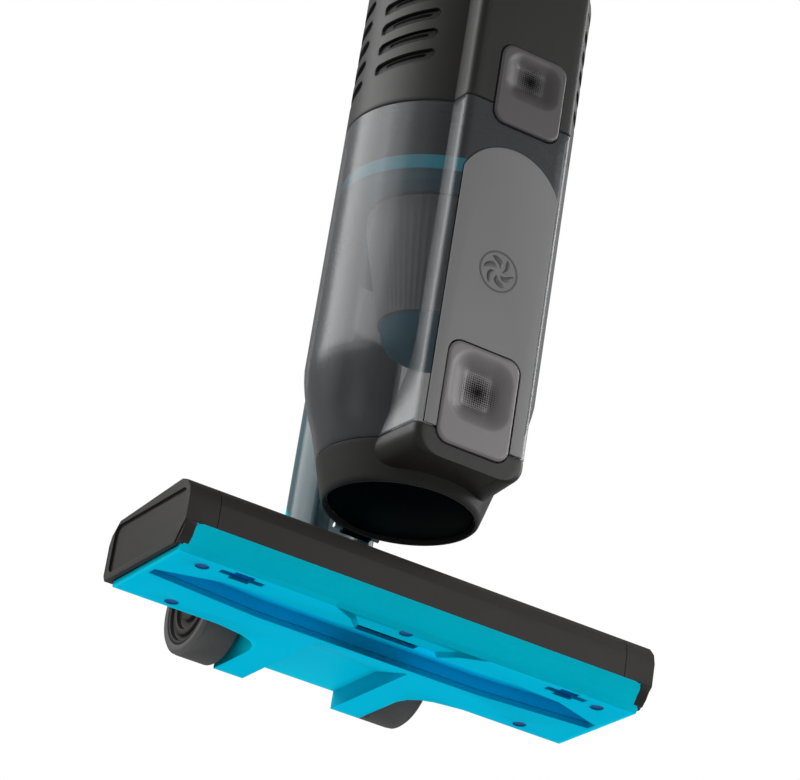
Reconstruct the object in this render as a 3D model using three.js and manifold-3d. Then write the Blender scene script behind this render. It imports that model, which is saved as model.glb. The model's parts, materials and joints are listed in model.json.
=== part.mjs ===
// Cordless hand vacuum standing on its wide floor head.
// Millimetres, +Z up. The spine and its buttons face -Y, the wheels are at +Y.
// Shapes are drawn with the dust bowl's axis as the Z axis, and the whole group is then moved
// along Y, so that the origin is on the floor under the middle of the outer box.
import * as THREE from 'three';
import { mergeVertices } from 'three/addons/utils/BufferGeometryUtils.js';
import { ConvexGeometry } from 'three/addons/geometries/ConvexGeometry.js';
import Module from 'manifold-3d';

const wasm = await Module();
wasm.setup();

// ---- driving dimensions ----
const gap = 0.3; // clearance between pieces that touch
const wall = 2.2; // usual wall of a moulded shell
const fine = 36; // sides of a large round
const medium = 20; // sides of a middling round
const coarse = 10; // sides of a small round
const tiny = 8; // sides of a screw or a pin

const head = { half: 125, capInner: 109, soleHalf: 122.3, lipHalf: 119, lipTop: 12.3 };
const soleFront = -32.6; // crease between the sole and its front lip
const soleRear = 32.5;
const faceFront = -39.6; // front face of the floor head
const plate = 2.6; // sole thickness
const pod = { inner: 24.5, outer: 40.5, rear: 86, top: 17.5 };
const podRecess = 9; // how far the underside rises between the two wheel pods

const wheel = { radius: 26, inner: 42, outer: 61.5, y: 81, z: 26, axle: 3 };
const pivot = { y: 70, z: 29.5, drum: 17.6, half: 23.6, pin: 2.6 };
const duct = { y: 70, outer: 22.2, inner: 20, top: 260.7 };
const neckCut = 10; // the neck is cut by the plane z = y + neckCut
const spigot = { outer: 15.6, inner: 13.6, bottom: 60.3, top: 101 };

const bowl = { radius: 55.3, wall: 2, collarBottom: 69.3, collarTop: 88.8, top: 261, travel: 10.6 };
const spine = { half: 30, front: -59, corner: 3.5, bottom: 75.5, bottomCorner: 10 };
const housingTop = 345;
const doorButton = { x: 0, half: 19.2, low: 83.2, high: 134.6, corner: 6.5 };
const bowlButton = { x: 3, half: 18.1, low: 252.6, high: 294.8, corner: 6 };
const buttonFront = -60.4;
const inletPort = { half: 14, low: 178, high: 206 };
const ventPitch = 11.4;
const handle = { half: 15, front: -59, rear: 54, top: 442 };

// Outer outline of the tapered bowl, as radius and height.
const taper = [
  [37.4, 69.3],
  [43.8, 92],
  [47.5, 105],
  [52.6, 119],
  [54.9, 128],
  [bowl.radius, 134],
];

// ---- colours and finishes ----
const finish = (color, roughness, metalness = 0, opacity = 1) => () =>
  new THREE.MeshStandardMaterial({ color, roughness, metalness, opacity, transparent: opacity < 1 });
const charcoal = finish(0x3b3937, 0.45);
const black = finish(0x262524, 0.5);
const rubber = finish(0x2b2b2b, 0.85);
const tread = finish(0x4a4a4a, 0.8);
const cyan = finish(0x00b4cf, 0.4);
const blue = finish(0x0069aa, 0.5);
const smoke = finish(0x4a5055, 0.1, 0, 0.45);
const tealSmoke = finish(0x2e6a73, 0.15, 0, 0.5);
const panelGrey = finish(0x6b6b6b, 0.6);
const buttonGrey = finish(0x5c5859, 0.5);
const meshGrey = finish(0x8a8d8f, 0.7);
const white = finish(0xd8dadb, 0.6);
const steel = finish(0xb8babc, 0.3, 1);
const copper = finish(0x9a5b34, 0.4, 1);
const boardGreen = finish(0x1d5b35, 0.6);
const cellBlue = finish(0x1f4f8f, 0.5);

// ---- solids ----
// A three.js geometry as a closed manifold solid, with its faces pointing out.
function solid(geometry) {
  const bare = geometry.index ? geometry.toNonIndexed() : geometry.clone();
  bare.deleteAttribute('normal');
  bare.deleteAttribute('uv');
  const merged = mergeVertices(bare, 1e-4);
  const faces = [];
  const index = merged.index.array;
  for (let i = 0; i < index.length; i += 3) {
    const [a, b, c] = [index[i], index[i + 1], index[i + 2]];
    if (a !== b && b !== c && c !== a) faces.push(a, b, c);
  }
  const build = (triangles) =>
    new wasm.Manifold(
      new wasm.Mesh({
        numProp: 3,
        vertProperties: merged.attributes.position.array,
        triVerts: new Uint32Array(triangles),
      }),
    );
  const made = build(faces);
  if (made.volume() > 0) return made;
  for (let i = 0; i < faces.length; i += 3) [faces[i], faces[i + 1]] = [faces[i + 1], faces[i]];
  return build(faces);
}

const join = (...pieces) => pieces.reduce((sum, piece) => sum.add(piece));
const cut = (base, ...tools) => tools.reduce((left, tool) => left.subtract(tool), base);

function box(x0, x1, y0, y1, z0, z1) {
  const geometry = new THREE.BoxGeometry(x1 - x0, y1 - y0, z1 - z0);
  geometry.translate((x0 + x1) / 2, (y0 + y1) / 2, (z0 + z1) / 2);
  return solid(geometry);
}

// A round bar whose axis runs along x, y or z, from one end to the other.
function bar(axis, radius, from, to, [a, b], sides = coarse) {
  const geometry = new THREE.CylinderGeometry(radius, radius, to - from, sides);
  const middle = (from + to) / 2;
  if (axis === 'x') geometry.rotateZ(Math.PI / 2).translate(middle, a, b);
  if (axis === 'y') geometry.translate(a, middle, b);
  if (axis === 'z') geometry.rotateX(Math.PI / 2).translate(a, b, middle);
  return solid(geometry);
}

function tube(axis, outer, inner, from, to, at, sides = coarse) {
  return cut(bar(axis, outer, from, to, at, sides), bar(axis, inner, from - 1, to + 1, at, sides));
}

// A profile of [radius, height] points turned about the Z axis.
function turned(points, sides = fine) {
  const geometry = new THREE.LatheGeometry(
    points.map(([r, z]) => new THREE.Vector2(r, z)),
    sides,
  );
  return solid(geometry.rotateX(Math.PI / 2));
}

const outline = (points) => new THREE.Shape(points.map(([a, b]) => new THREE.Vector2(a, b)));

function roundRect(a0, a1, b0, b1, r) {
  const shape = new THREE.Shape();
  shape.moveTo(a0 + r, b0).lineTo(a1 - r, b0).absarc(a1 - r, b0 + r, r, -Math.PI / 2, 0);
  shape.lineTo(a1, b1 - r).absarc(a1 - r, b1 - r, r, 0, Math.PI / 2);
  shape.lineTo(a0 + r, b1).absarc(a0 + r, b1 - r, r, Math.PI / 2, Math.PI);
  shape.lineTo(a0, b0 + r).absarc(a0 + r, b0 + r, r, Math.PI, 1.5 * Math.PI);
  return shape;
}

// A flat outline given thickness along one axis. Along x the outline is (y, z), along y it is
// (x, z), and along z it is (x, y).
function slab(axis, shape, from, to, curveSegments = 4) {
  const geometry = new THREE.ExtrudeGeometry(shape, { depth: to - from, bevelEnabled: false, curveSegments });
  if (axis === 'x') {
    geometry.applyMatrix4(
      new THREE.Matrix4().makeBasis(
        new THREE.Vector3(0, 1, 0),
        new THREE.Vector3(0, 0, 1),
        new THREE.Vector3(1, 0, 0),
      ),
    );
    geometry.translate(from, 0, 0);
  }
  if (axis === 'y') geometry.rotateX(Math.PI / 2).translate(0, to, 0);
  if (axis === 'z') geometry.translate(0, 0, from);
  return solid(geometry);
}

const hull = (points) => solid(new ConvexGeometry(points.map(([x, y, z]) => new THREE.Vector3(x, y, z))));

// A wedge of a ring about the Z axis, between two angles measured from the front (-Y).
function ringSector(inner, outer, from, to, low, high) {
  const [a, b] = [from - Math.PI / 2, to - Math.PI / 2];
  const shape = new THREE.Shape();
  shape.absarc(0, 0, outer, a, b, false);
  shape.absarc(0, 0, inner, b, a, true);
  return slab('z', shape, low, high, 3);
}

function mesh(name, made, material, parent) {
  const { numProp, vertProperties, triVerts } = made.getMesh();
  const geometry = new THREE.BufferGeometry();
  const positions = new Float32Array((vertProperties.length / numProp) * 3);
  for (let i = 0; i < positions.length / 3; i += 1) {
    positions.set(vertProperties.subarray(i * numProp, i * numProp + 3), i * 3);
  }
  geometry.setAttribute('position', new THREE.BufferAttribute(positions, 3));
  geometry.setIndex(new THREE.BufferAttribute(new Uint32Array(triVerts), 1));
  geometry.computeVertexNormals();
  const piece = new THREE.Mesh(geometry, material());
  piece.name = name;
  parent.add(piece);
  return piece;
}

const sides = [
  ['left', -1],
  ['right', 1],
];
// Extent [from, to] along X on one side of the middle, in increasing order.
const span = (side, near, far) => (side > 0 ? [near, far] : [-far, -near]);

// ---- shared envelopes ----
// The bowl's round envelope between two heights, moved out by an offset.
function roundEnvelope(low, high, offset = 0) {
  const at = (z) => {
    const i = taper.findIndex(([, top]) => top >= z);
    if (i < 0) return bowl.radius;
    if (i === 0) return taper[0][0];
    const [[r0, z0], [r1, z1]] = [taper[i - 1], taper[i]];
    return r0 + ((r1 - r0) * (z - z0)) / (z1 - z0);
  };
  const between = taper.filter(([, z]) => z > low && z < high).map(([r, z]) => [r + offset, z]);
  return turned([[0, low], [at(low) + offset, low], ...between, [at(high) + offset, high], [0, high]]);
}

// The spine block: flat front, rounded vertical edges.
function spineBlock(low, high, inset = 0, back = -20) {
  const half = spine.half - inset;
  const front = spine.front + inset;
  const r = Math.max(spine.corner - inset, 1);
  const shape = new THREE.Shape();
  shape.moveTo(-half, back).lineTo(-half, front + r);
  shape.absarc(-half + r, front + r, r, Math.PI, 1.5 * Math.PI);
  shape.lineTo(half - r, front);
  shape.absarc(half - r, front + r, r, 1.5 * Math.PI, 2 * Math.PI);
  shape.lineTo(half, back);
  return slab('z', shape, low, high);
}

// Cuts the two lower corners of the spine to arcs, as seen from the front.
function spineFoot() {
  const far = spine.half + 5;
  const shape = roundRect(-spine.half, spine.half, spine.bottom, spine.bottom + 60, spine.bottomCorner);
  const frame = outline([
    [-far, spine.bottom - 5],
    [far, spine.bottom - 5],
    [far, spine.bottom + 30],
    [-far, spine.bottom + 30],
  ]);
  return cut(slab('y', frame, spine.front - 2, -10), slab('y', shape, spine.front - 3, -9, 8));
}

// Sloping cheeks that fill in between the spine and the tapering bowl.
function cheeks(low, high) {
  const parts = sides.map(([, s]) =>
    hull([
      [s * 27, -44, low],
      [s * 29.4, -57, low],
      [s * 36.5, -45, low],
      [s * 36, -30, low],
      [s * 27, -30, low],
      [s * 27, -50, high],
      [s * 29.4, -52, high],
      [s * 27, -46, high],
    ]),
  );
  return join(...parts);
}

function buttonPocket({ x, half, low, high, corner }, depth, grow = 0.5) {
  const shape = roundRect(x - half - grow, x + half + grow, low - grow, high + grow, corner);
  return slab('y', shape, spine.front - 5, depth);
}

// ---- floor head ----
const root = new THREE.Group();
const floorHead = new THREE.Group();
const neck = new THREE.Group();
const handVac = new THREE.Group();
const dustBin = new THREE.Group();
root.add(floorHead, neck, handVac, dustBin);

// Outline of the head's cross-section above the sole, as (y, z), moved in by an inset.
function headSection(inset) {
  return [
    [faceFront + inset, head.lipTop + gap],
    [faceFront + inset, 24],
    [faceFront + 1.6 + inset, 29],
    [faceFront + 5.6 + inset * 0.7, 33 - inset * 0.6],
    [-28.8, 34.8 - inset],
    [31 - inset * 0.3, 31.4 - inset],
    [37.2 - inset * 0.8, 25.5 - inset * 0.4],
    [38.6 - inset, 21],
    [38.6 - inset, 6],
    [36.4 - inset * 0.6, 2.4 + inset * 0.5],
    [33.4, 1 + inset * 0.9],
  ];
}

// Places of the sole's screws: x, y and the height of the surface around each.
const screwSpots = [
  [-106, -24, 0],
  [106, -24, 0],
  [-95, 26, 0],
  [95, 26, 0],
  [0, -24.4, 2.4],
];

const roofAt = (y) => 34.8 - (3.4 * (y + 28.8)) / 59.8; // height of the head's sloping top

function headCover() {
  const openEdge = [
    [31, 1],
    [-31, plate + gap],
    [faceFront + wall + 0.1, head.lipTop + gap],
  ];
  const shell = slab('x', outline([...headSection(0), ...openEdge]), -head.capInner, head.capInner);
  const inside = slab(
    'x',
    outline([...headSection(wall), [33.4, -5], [faceFront + wall, -5]]),
    -head.capInner - 1,
    head.capInner + 1,
  );
  const arms = sides.map(([, s]) => {
    const arm = outline([
      [36.5, pod.top + gap],
      [85, pod.top + gap],
      [88.6, 21],
      [90, 26],
      [88.6, 31],
      [85, 35],
      [78, 37],
      [56, 37.5],
      [36.5, 31],
    ]);
    return slab('x', arm, ...span(s, pod.inner, pod.outer));
  });
  const tunnel = join(
    box(gap - pod.inner, pod.inner - gap, 36.5, 53, podRecess + plate + gap, 33.5),
    box(-pod.inner - 1, pod.inner + 1, 36.5, 53, pod.top + gap, 33.5),
  );
  const bosses = screwSpots.map(([x, y, z]) => bar('z', 4, z * 2.6 + plate + gap, roofAt(y) - 1, [x, y], tiny));
  const pilots = screwSpots.map(([x, y, z]) => bar('z', 1.8, z, z + 18, [x, y], tiny));
  return cut(
    join(cut(shell, inside), ...arms, tunnel, ...bosses),
    bar('x', pivot.drum + 0.6, -pod.inner + 0.3, pod.inner - 0.3, [pivot.y, pivot.z], medium),
    box(-15, 15, 33, 60, 15, 28),
    bar('x', wheel.axle + 0.05, -60, 60, [wheel.y, wheel.z]),
    bar('x', pivot.pin + 0.05, -35, 35, [pivot.y, pivot.z]),
    box(-80, 80, 30, 39, -1, plate + gap),
    box(-pod.inner - 1, pod.inner + 1, 30, 40, -1, podRecess + plate + gap),
    ...pilots,
  );
}

// Half outline of the suction channel, from the middle of its front edge round to its rear edge.
const channelHalf = [
  [20.4, -16.4],
  [43, -15.8],
  [66, -17],
  [91, -14.8],
  [119, -3.2],
  [119, 2.8],
  [60, 9.6],
];
const mirrored = (half) => [...half, ...half.map(([x, y]) => [-x, y]).reverse()];

const rampPoints = (x, y, z) => [
  [-x, y, z],
  [x, y, z],
];

function headSole() {
  const lip = outline([
    [soleFront, 0],
    [faceFront + 0.2, head.lipTop],
    [faceFront + wall, head.lipTop],
    [soleFront + 1.6, plate],
    [soleRear, plate],
    [soleRear, 0],
  ]);
  const base = slab('x', lip, -head.soleHalf, head.soleHalf);
  const tailPlan = new THREE.Shape();
  tailPlan.moveTo(-78, soleRear - 2).lineTo(-62, soleRear + 1);
  tailPlan.bezierCurveTo(-48, soleRear + 3, -42, 40, -pod.outer, 50);
  tailPlan.lineTo(-pod.outer, pod.rear).lineTo(pod.outer, pod.rear).lineTo(pod.outer, 50);
  tailPlan.bezierCurveTo(42, 40, 48, soleRear + 3, 62, soleRear + 1);
  tailPlan.lineTo(78, soleRear - 2);
  const tail = slab('z', tailPlan, 0, plate);
  const pods = sides.map(([, s]) => {
    const [x0, x1] = span(s, pod.inner, pod.outer);
    return box(x0, x1, 39.5, pod.rear, 0, pod.top);
  });
  // Ramp that leads dirt from the front lip to the mouth: steep at the lip, then level.
  const rampRoof = hull([
    ...rampPoints(62, faceFront + wall, 11.9),
    ...rampPoints(62, soleFront, 1),
    ...rampPoints(40, -18, 4.6),
    ...rampPoints(40, -18, 1),
  ]);
  const rise = [
    [14, 0.2],
    [45, podRecess],
    [pod.rear, podRecess],
  ];
  const middle = slab(
    'x',
    outline([[12, plate], ...rise, [pod.rear, podRecess + plate], [44, podRecess + plate], [19, plate + 1.6]]),
    -pod.inner - 0.5,
    pod.inner + 0.5,
  );
  const below = slab(
    'x',
    outline([[14, -1], ...rise.slice(0, 2), [pod.rear + 1, podRecess], [pod.rear + 1, -1]]),
    -pod.inner,
    pod.inner,
  );
  const ramp = join(
    hull([
      ...rampPoints(60, -43, -1),
      ...rampPoints(30, -25, -1),
      ...rampPoints(44, -43, 10.2),
      ...rampPoints(27, -25, 2.4),
    ]),
    hull([
      ...rampPoints(30.2, -25.2, -1),
      ...rampPoints(22.5, -16, -1),
      ...rampPoints(27.2, -25.2, 2.4),
      ...rampPoints(20.2, -16, 2.2),
    ]),
  );
  const channel = slab('z', outline(mirrored(channelHalf)), -1, 8);
  const lipEnds = sides.map(([, s]) => {
    const [x0, x1] = span(s, head.lipHalf, head.half);
    return box(x0, x1, -45, soleFront - 0.6, plate, 20);
  });
  const holes = screwSpots.flatMap(([x, y, z]) => [
    bar('z', 1.8, -1, 9, [x, y], tiny),
    bar('z', 3.4, -1, z + 1.6, [x, y], coarse),
  ]);
  const keyholes = sides.flatMap(([, s]) => [
    box(s * 87 - 11, s * 87 + 11, -28.4, -24.6, -1, 1.7),
    box(s * 87 - 5, s * 87 + 5, -31, -22, -1, 1.7),
  ]);
  return cut(
    join(base, tail, ...pods, rampRoof, middle),
    below,
    ramp,
    channel,
    ...lipEnds,
    ...holes,
    ...keyholes,
  );
}

// The trough above the channel, with the throat that opens into the head.
function channelLiner() {
  const grow = ([x, y]) => [x + 1.2, y > 0 ? y + 1.4 : y - 1.2];
  const block = slab('z', outline(mirrored(channelHalf.map(grow))), plate + gap, 10.5);
  const trough = slab('z', outline(mirrored(channelHalf)), 0, 8.6);
  const throat = box(-20, 20, -15, 4, 5, 12);
  const ribClear = box(-64, 64, -30, -17.7, 0, 5.1);
  return cut(block, trough, throat, ribClear);
}

function bumper(s) {
  const [x0, x1] = span(s, head.capInner + gap, head.half);
  const block = slab('x', outline([...headSection(0), [33.4, plate + gap], [-31.4, plate + gap]]), x0, x1);
  const [h0, h1] = span(s, head.capInner - 2, head.half - 2.4);
  const hollow = slab('x', outline([...headSection(wall), [33.4, -1], [-33, -1]]), h0, h1);
  const [r0, r1] = span(s, head.half - 1.2, head.half + 2);
  const face = slab('x', roundRect(-35.5, 34.5, 6, 29.5, 4), r0, r1);
  const [e0, e1] = span(s, head.lipHalf - 8, head.half);
  const bossRoom = screwSpots.filter(([x]) => Math.abs(x) > 104).map(([x, y]) => bar('z', 4.4, 0, 34.2, [x, y], tiny));
  const lipRoom = slab(
    'x',
    outline([
      [faceFront - 1, 0],
      [faceFront - 1, head.lipTop + gap],
      [faceFront + wall + gap, head.lipTop + gap],
      [soleFront + 1.9, plate + gap],
      [soleFront + 1.9, 0],
    ]),
    ...span(s, head.capInner - 1, head.lipHalf + gap),
  );
  return cut(block, hollow, face, lipRoom, ...bossRoom, box(e0, e1, 20, 40, -2, plate + gap));
}

mesh('head_cover', headCover(), black, floorHead);
mesh('head_sole', headSole(), cyan, floorHead);
mesh('channel_liner', channelLiner(), blue, floorHead);
sides.forEach(([name, s]) => mesh('bumper_' + name, bumper(s), black, floorHead));
screwSpots.forEach(([x, y, z], i) => {
  const screw = join(bar('z', 3, z + 0.5, z + 1.3, [x, y], tiny), bar('z', 1.4, z + 1.2, z + 15, [x, y], tiny));
  mesh('sole_screw_' + (i + 1), screw, steel, floorHead);
});
mesh('lint_strip', box(-40, 40, 11.2, 12.6, plate + 0.6, 7), rubber, floorHead);

// Wheels: a tyre on a grooved hub, turning on a stub axle.
const wheelWidth = wheel.outer - wheel.inner;
const tyreInner = 21.4;
function wheelHub() {
  const w = wheelWidth / 2;
  const profile = [
    [wheel.axle + 0.08, -w + 1],
    [tyreInner - gap, -w + 1],
    [tyreInner - gap, w - 0.6],
    [19, w - 0.6],
    [18.4, w - 2.2],
    [16.4, w - 2.2],
    [15.8, w - 1],
    [13.4, w - 1],
    [12.8, w - 3],
    [9, w - 3],
    [8.4, w - 1.2],
    [wheel.axle + 0.08, w - 1.2],
    [wheel.axle + 0.08, -w + 1],
  ];
  return turned(profile, medium);
}
function wheelTyre() {
  const w = wheelWidth / 2;
  const profile = [
    [tyreInner, -w + 0.4],
    [wheel.radius - 1.4, -w],
    [wheel.radius, -w + 1.2],
    [wheel.radius, w - 1.6],
    [wheel.radius - 1.8, w],
    [tyreInner, w - 0.3],
    [tyreInner, -w + 0.4],
  ];
  return turned(profile, medium);
}
sides.forEach(([name, s]) => {
  const place = new THREE.Group();
  place.position.set(s * ((wheel.inner + wheel.outer) / 2), wheel.y, wheel.z);
  place.rotation.y = (s * Math.PI) / 2;
  floorHead.add(place);
  mesh('wheel_hub_' + name, wheelHub(), black, place);
  mesh('wheel_tyre_' + name, wheelTyre(), tread, place);
  const axle = join(
    bar('x', wheel.axle, ...span(s, 26, wheel.outer - 0.6), [wheel.y, wheel.z]),
    bar('x', wheel.axle + 1.6, ...span(s, wheel.outer - 0.9, wheel.outer + 0.3), [wheel.y, wheel.z]),
  );
  mesh('wheel_axle_' + name, axle, steel, floorHead);
  mesh('pivot_pin_' + name, bar('x', pivot.pin, ...span(s, 19.4, 33), [pivot.y, pivot.z]), steel, floorHead);
});

// ---- neck ----
// Everything above (direction 1) or below (-1) the plane z = y + shift, as a cutting block.
function slantBlock(shift, direction) {
  const far = 90;
  const corners = [-60, 60].flatMap((x) => [
    [x, duct.y - far, duct.y - far + shift],
    [x, duct.y + far, duct.y + far + shift],
    [x, duct.y - direction * far, duct.y + direction * far + shift],
  ]);
  return hull(corners);
}

function neckElbow() {
  const drum = bar('x', pivot.drum, -pivot.half, pivot.half, [pivot.y, pivot.z], medium);
  const flare = turned(
    [
      [0, pivot.z],
      [16.5, pivot.z],
      [16.5, 40],
      [duct.outer, 50],
      [duct.outer, 120],
      [0, 120],
    ],
    medium,
  ).translate([0, duct.y, 0]);
  const bore = join(
    bar('z', spigot.inner, pivot.z, 130, [0, duct.y], medium),
    bar('z', spigot.outer + 0.25, spigot.bottom - 0.3, 130, [0, duct.y], medium),
    bar('x', 13, -17, 17, [pivot.y, pivot.z], coarse),
    box(-14, 14, 45, 66, 20.5, 27.5),
  );
  const pinHoles = sides.map(([, s]) =>
    bar('x', pivot.pin + 0.45, ...span(s, 19, 30), [pivot.y, pivot.z]),
  );
  const latchPocket = box(-7.5, 7.5, 46, 52.6, 51.5, 56.4);
  return cut(join(drum, flare), slantBlock(neckCut, 1), bore, ...pinHoles, latchPocket);
}

function neckGasket() {
  const ring = tube('z', 19.7, 16.6, 50, 110, [0, duct.y], medium);
  return cut(ring, slantBlock(neckCut + 1.6, 1), slantBlock(neckCut + 1.5 * gap, -1));
}

mesh('neck_elbow', neckElbow(), cyan, neck);
mesh(
  'neck_spigot',
  tube('z', spigot.outer, spigot.inner, spigot.bottom, spigot.top, [0, duct.y], medium),
  white,
  neck,
);

mesh('neck_gasket', neckGasket(), rubber, neck);
// Catch that holds the duct on the spigot, pressed in against a leaf spring.
mesh('neck_latch', box(-7, 7, 45.6, 49, 51.9, 56), buttonGrey, neck);
mesh('neck_latch_spring', box(-5, 5, 51.4, 52.3, 52.4, 55.6), steel, neck);

// ---- motor housing ----
function ventSlots() {
  const slots = [];
  [64, 104, 144].forEach((middle, column) => {
    for (let row = 0; row < 5; row += 1) {
      const z = 283 + ventPitch * (row - (column % 2) / 2);
      [-middle, middle].forEach((angle) => {
        const [from, to] = [angle - 11, angle + 11].map(THREE.MathUtils.degToRad);
        slots.push(ringSector(49, 58, from, to, z, z + 2.4));
      });
    }
  });
  return slots;
}

function motorHousing() {
  const low = bowl.top + gap;
  const fairing = cut(
    bar('z', duct.outer, low, 330, [0, duct.y], medium),
    hull([
      [-30, 40, 345],
      [30, 40, 345],
      [-30, 40, 322],
      [30, 40, 322],
      [-30, 100, 274],
      [30, 100, 274],
      [-30, 100, 345],
      [30, 100, 345],
    ]),
  );
  const fairingRoom = cut(
    bar('z', duct.inner, low - 1, 330, [0, duct.y], medium),
    bar('z', bowl.radius, low - 2, 331, [0, 0], fine),
    hull([
      [-30, 40, 345],
      [30, 40, 345],
      [-30, 40, 319],
      [30, 40, 319],
      [-30, 100, 271],
      [30, 100, 271],
      [-30, 100, 345],
      [30, 100, 345],
    ]),
  );
  const outer = join(bar('z', bowl.radius, low, housingTop, [0, 0], fine), spineBlock(low, housingTop), fairing);
  const room = join(
    bar('z', bowl.radius - wall, low - 1, housingTop + 1, [0, 0], fine),
    spineBlock(low + 2.5, housingTop + 1, wall),
  );
  return cut(
    outer,
    room,
    fairingRoom,
    buttonPocket(bowlButton, -50),
    bar('y', 5.8, 45, 60, [0, 327], coarse),
    ...ventSlots(),
  );
}

function handleShell(s) {
  const low = housingTop + gap;
  const dome = turned([
    [0, low],
    [bowl.radius, low],
    [bowl.radius, 350],
    [53.2, 356],
    [48, 362],
    [38, 366.5],
    [22, 369.4],
    [0, 370.5],
  ]);
  const room = turned([
    [0, low - 1],
    [bowl.radius - wall, low - 1],
    [bowl.radius - wall, 350],
    [51, 355],
    [46.4, 360],
    [37, 364.2],
    [22, 366.8],
    [0, 367.6],
  ]);
  const loop = cut(
    slab('x', roundRect(handle.front, handle.rear, 330, handle.top, 30), -handle.half, handle.half),
    slab('x', roundRect(-35, 34, 376, handle.top - 27, 16), -30, 30),
    box(-30, 30, -80, 80, 300, low),
  );
  const block = spineBlock(low, 372);
  const blockTop = hull([
    [-40, -70, 380],
    [40, -70, 380],
    [-40, -70, 362],
    [40, -70, 362],
    [-40, -10, 376],
    [40, -10, 376],
    [-40, -10, 380],
    [40, -10, 380],
  ]);
  const [x0, x1] = span(s, gap / 2, 80);
  const half = box(x0, x1, -90, 90, low - 5, handle.top + 5);
  const screwHoles = handleScrewSpots.flatMap(([y, z]) => [
    bar('x', 1.8, -20, 10, [y, z], tiny),
    bar('x', 3.4, -20, -11, [y, z], coarse),
  ]);
  const shell = cut(
    join(dome, loop, cut(block, blockTop)),
    room,
    spineBlock(low - 1, 360, wall),
    box(-9.5, 9.5, -45.5, -19.5, handle.top - 8, handle.top + 5),
    ...screwHoles,
  );
  return shell.intersect(half);
}

const handleScrewSpots = [
  [-46, 392],
  [44, 396],
];

mesh('motor_housing', motorHousing(), charcoal, handVac);
sides.forEach(([name, s]) => mesh('handle_shell_' + name, handleShell(s), charcoal, handVac));
handleScrewSpots.forEach(([y, z], i) => {
  const screw = join(bar('x', 3, -13.6, -11.3, [y, z], tiny), bar('x', 1.5, -11.4, 9.4, [y, z], tiny));
  mesh('handle_screw_' + (i + 1), screw, steel, handVac);
});

// Suction duct up the back of the bowl, with a window into the bowl.
function inletDuct() {
  // The bowl slides down before it comes away, so the duct keeps clear of it over that travel too.
  const swept = (offset) => {
    const envelope = roundEnvelope(50, 280, offset);
    return join(envelope, envelope.translate([0, 0, -bowl.travel / 2]), envelope.translate([0, 0, -bowl.travel]));
  };
  const outer = cut(bar('z', duct.outer, 40, duct.top, [0, duct.y], medium), swept(1.3));
  const room = cut(bar('z', duct.inner, 30, duct.top - 2, [0, duct.y], medium), swept(3.3));
  const window = box(-inletPort.half, inletPort.half, 50, 64, inletPort.low, inletPort.high);
  return cut(outer, room, window, slantBlock(neckCut + 2 * gap, -1));
}
mesh('inlet_duct', inletDuct(), tealSmoke, handVac);
function inletGasket() {
  const reach = Math.asin((inletPort.half + 3) / bowl.radius);
  const opening = Math.asin(inletPort.half / bowl.radius);
  const ring = ringSector(55.65, 56.25, Math.PI - reach, Math.PI + reach, inletPort.low - 3, inletPort.high + 3);
  return cut(
    ring,
    ringSector(50, 60, Math.PI - opening, Math.PI + opening, inletPort.low, inletPort.high),
  );
}
mesh('inlet_gasket', inletGasket(), rubber, handVac);

// Filter that hangs into the bowl: cyan frame, pleated or woven body, teal cone.
function filterFrame() {
  return turned(
    [
      [46, bowl.top - 0.5],
      [46, 232],
      [52.6, 231.4],
      [52.8, 226],
      [50.6, 225],
      [50.2, 210],
      [38, 208.8],
      [38, 210.8],
      [44, 212],
      [44, bowl.top - 0.5],
      [46, bowl.top - 0.5],
    ],
    medium,
  );
}
mesh('filter_frame', filterFrame(), cyan, handVac);
const filterBody = turned(
  [
    [36, 208.4],
    [38, 208.4],
    [32, 164.5],
    [30, 164.5],
    [36, 208.4],
  ],
  medium,
);
mesh('filter_mesh', filterBody, meshGrey, handVac);
const filterCone = turned(
  [
    [0, 138],
    [20, 139],
    [24, 146],
    [31, 164.2],
    [29, 164.2],
    [22, 147],
    [0, 142],
  ],
  medium,
);
mesh('filter_cone', filterCone, tealSmoke, handVac);
mesh('bowl_seal', tube('z', 52.8, 46.4, 251, 256, [0, 0], medium), rubber, handVac);

// Motor, fan and electrics.
const rotor = new THREE.Group();
handVac.add(rotor);
mesh('motor_mount', tube('z', 52.7, 10, 284, 287, [0, 0], medium), black, handVac);
mesh('motor_can', tube('z', 26, 24, 287.3, 320, [0, 0], medium), steel, handVac);
mesh('motor_stator', tube('z', 23.7, 14, 290, 316, [0, 0], medium), copper, handVac);
mesh('bearing_lower', tube('z', 7, 3.5, 287.4, 289.8, [0, 0], coarse), steel, handVac);
mesh('bearing_upper', tube('z', 13.8, 3.5, 316.4, 319.6, [0, 0], coarse), steel, handVac);
mesh('motor_shaft', bar('z', 3, 266, 321, [0, 0], coarse), steel, rotor);
mesh('motor_armature', tube('z', 13, 3.3, 291, 315, [0, 0], coarse), copper, rotor);
function impeller() {
  const hub = tube('z', 41, 3.3, 278, 280, [0, 0], medium);
  const boss = tube('z', 9, 3.3, 268, 278.5, [0, 0], coarse);
  const blades = Array.from({ length: 9 }, (_, i) =>
    box(8, 40, -0.8, 0.8, 270, 278.4).rotate([0, 0, (i * 360) / 9]),
  );
  return join(hub, boss, ...blades);
}
mesh('impeller', impeller(), white, rotor);
mesh('exhaust_foam', tube('z', 52.6, 49.5, 288, 321, [0, 0], medium), black, handVac);
mesh('circuit_board', box(-28, 28, -22, 22, 336, 337.6), boardGreen, handVac);
const cells = [-9.6, 9.6].map((x) => bar('y', 9.2, -32, 32, [x, 353.6], coarse));
mesh('battery_pack', join(...cells, box(-9, 9, -31, 31, 346, 349)), cellBlue, handVac);
mesh('charge_socket', tube('y', 5.5, 3.4, 45, 55, [0, 327], coarse), black, handVac);

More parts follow.
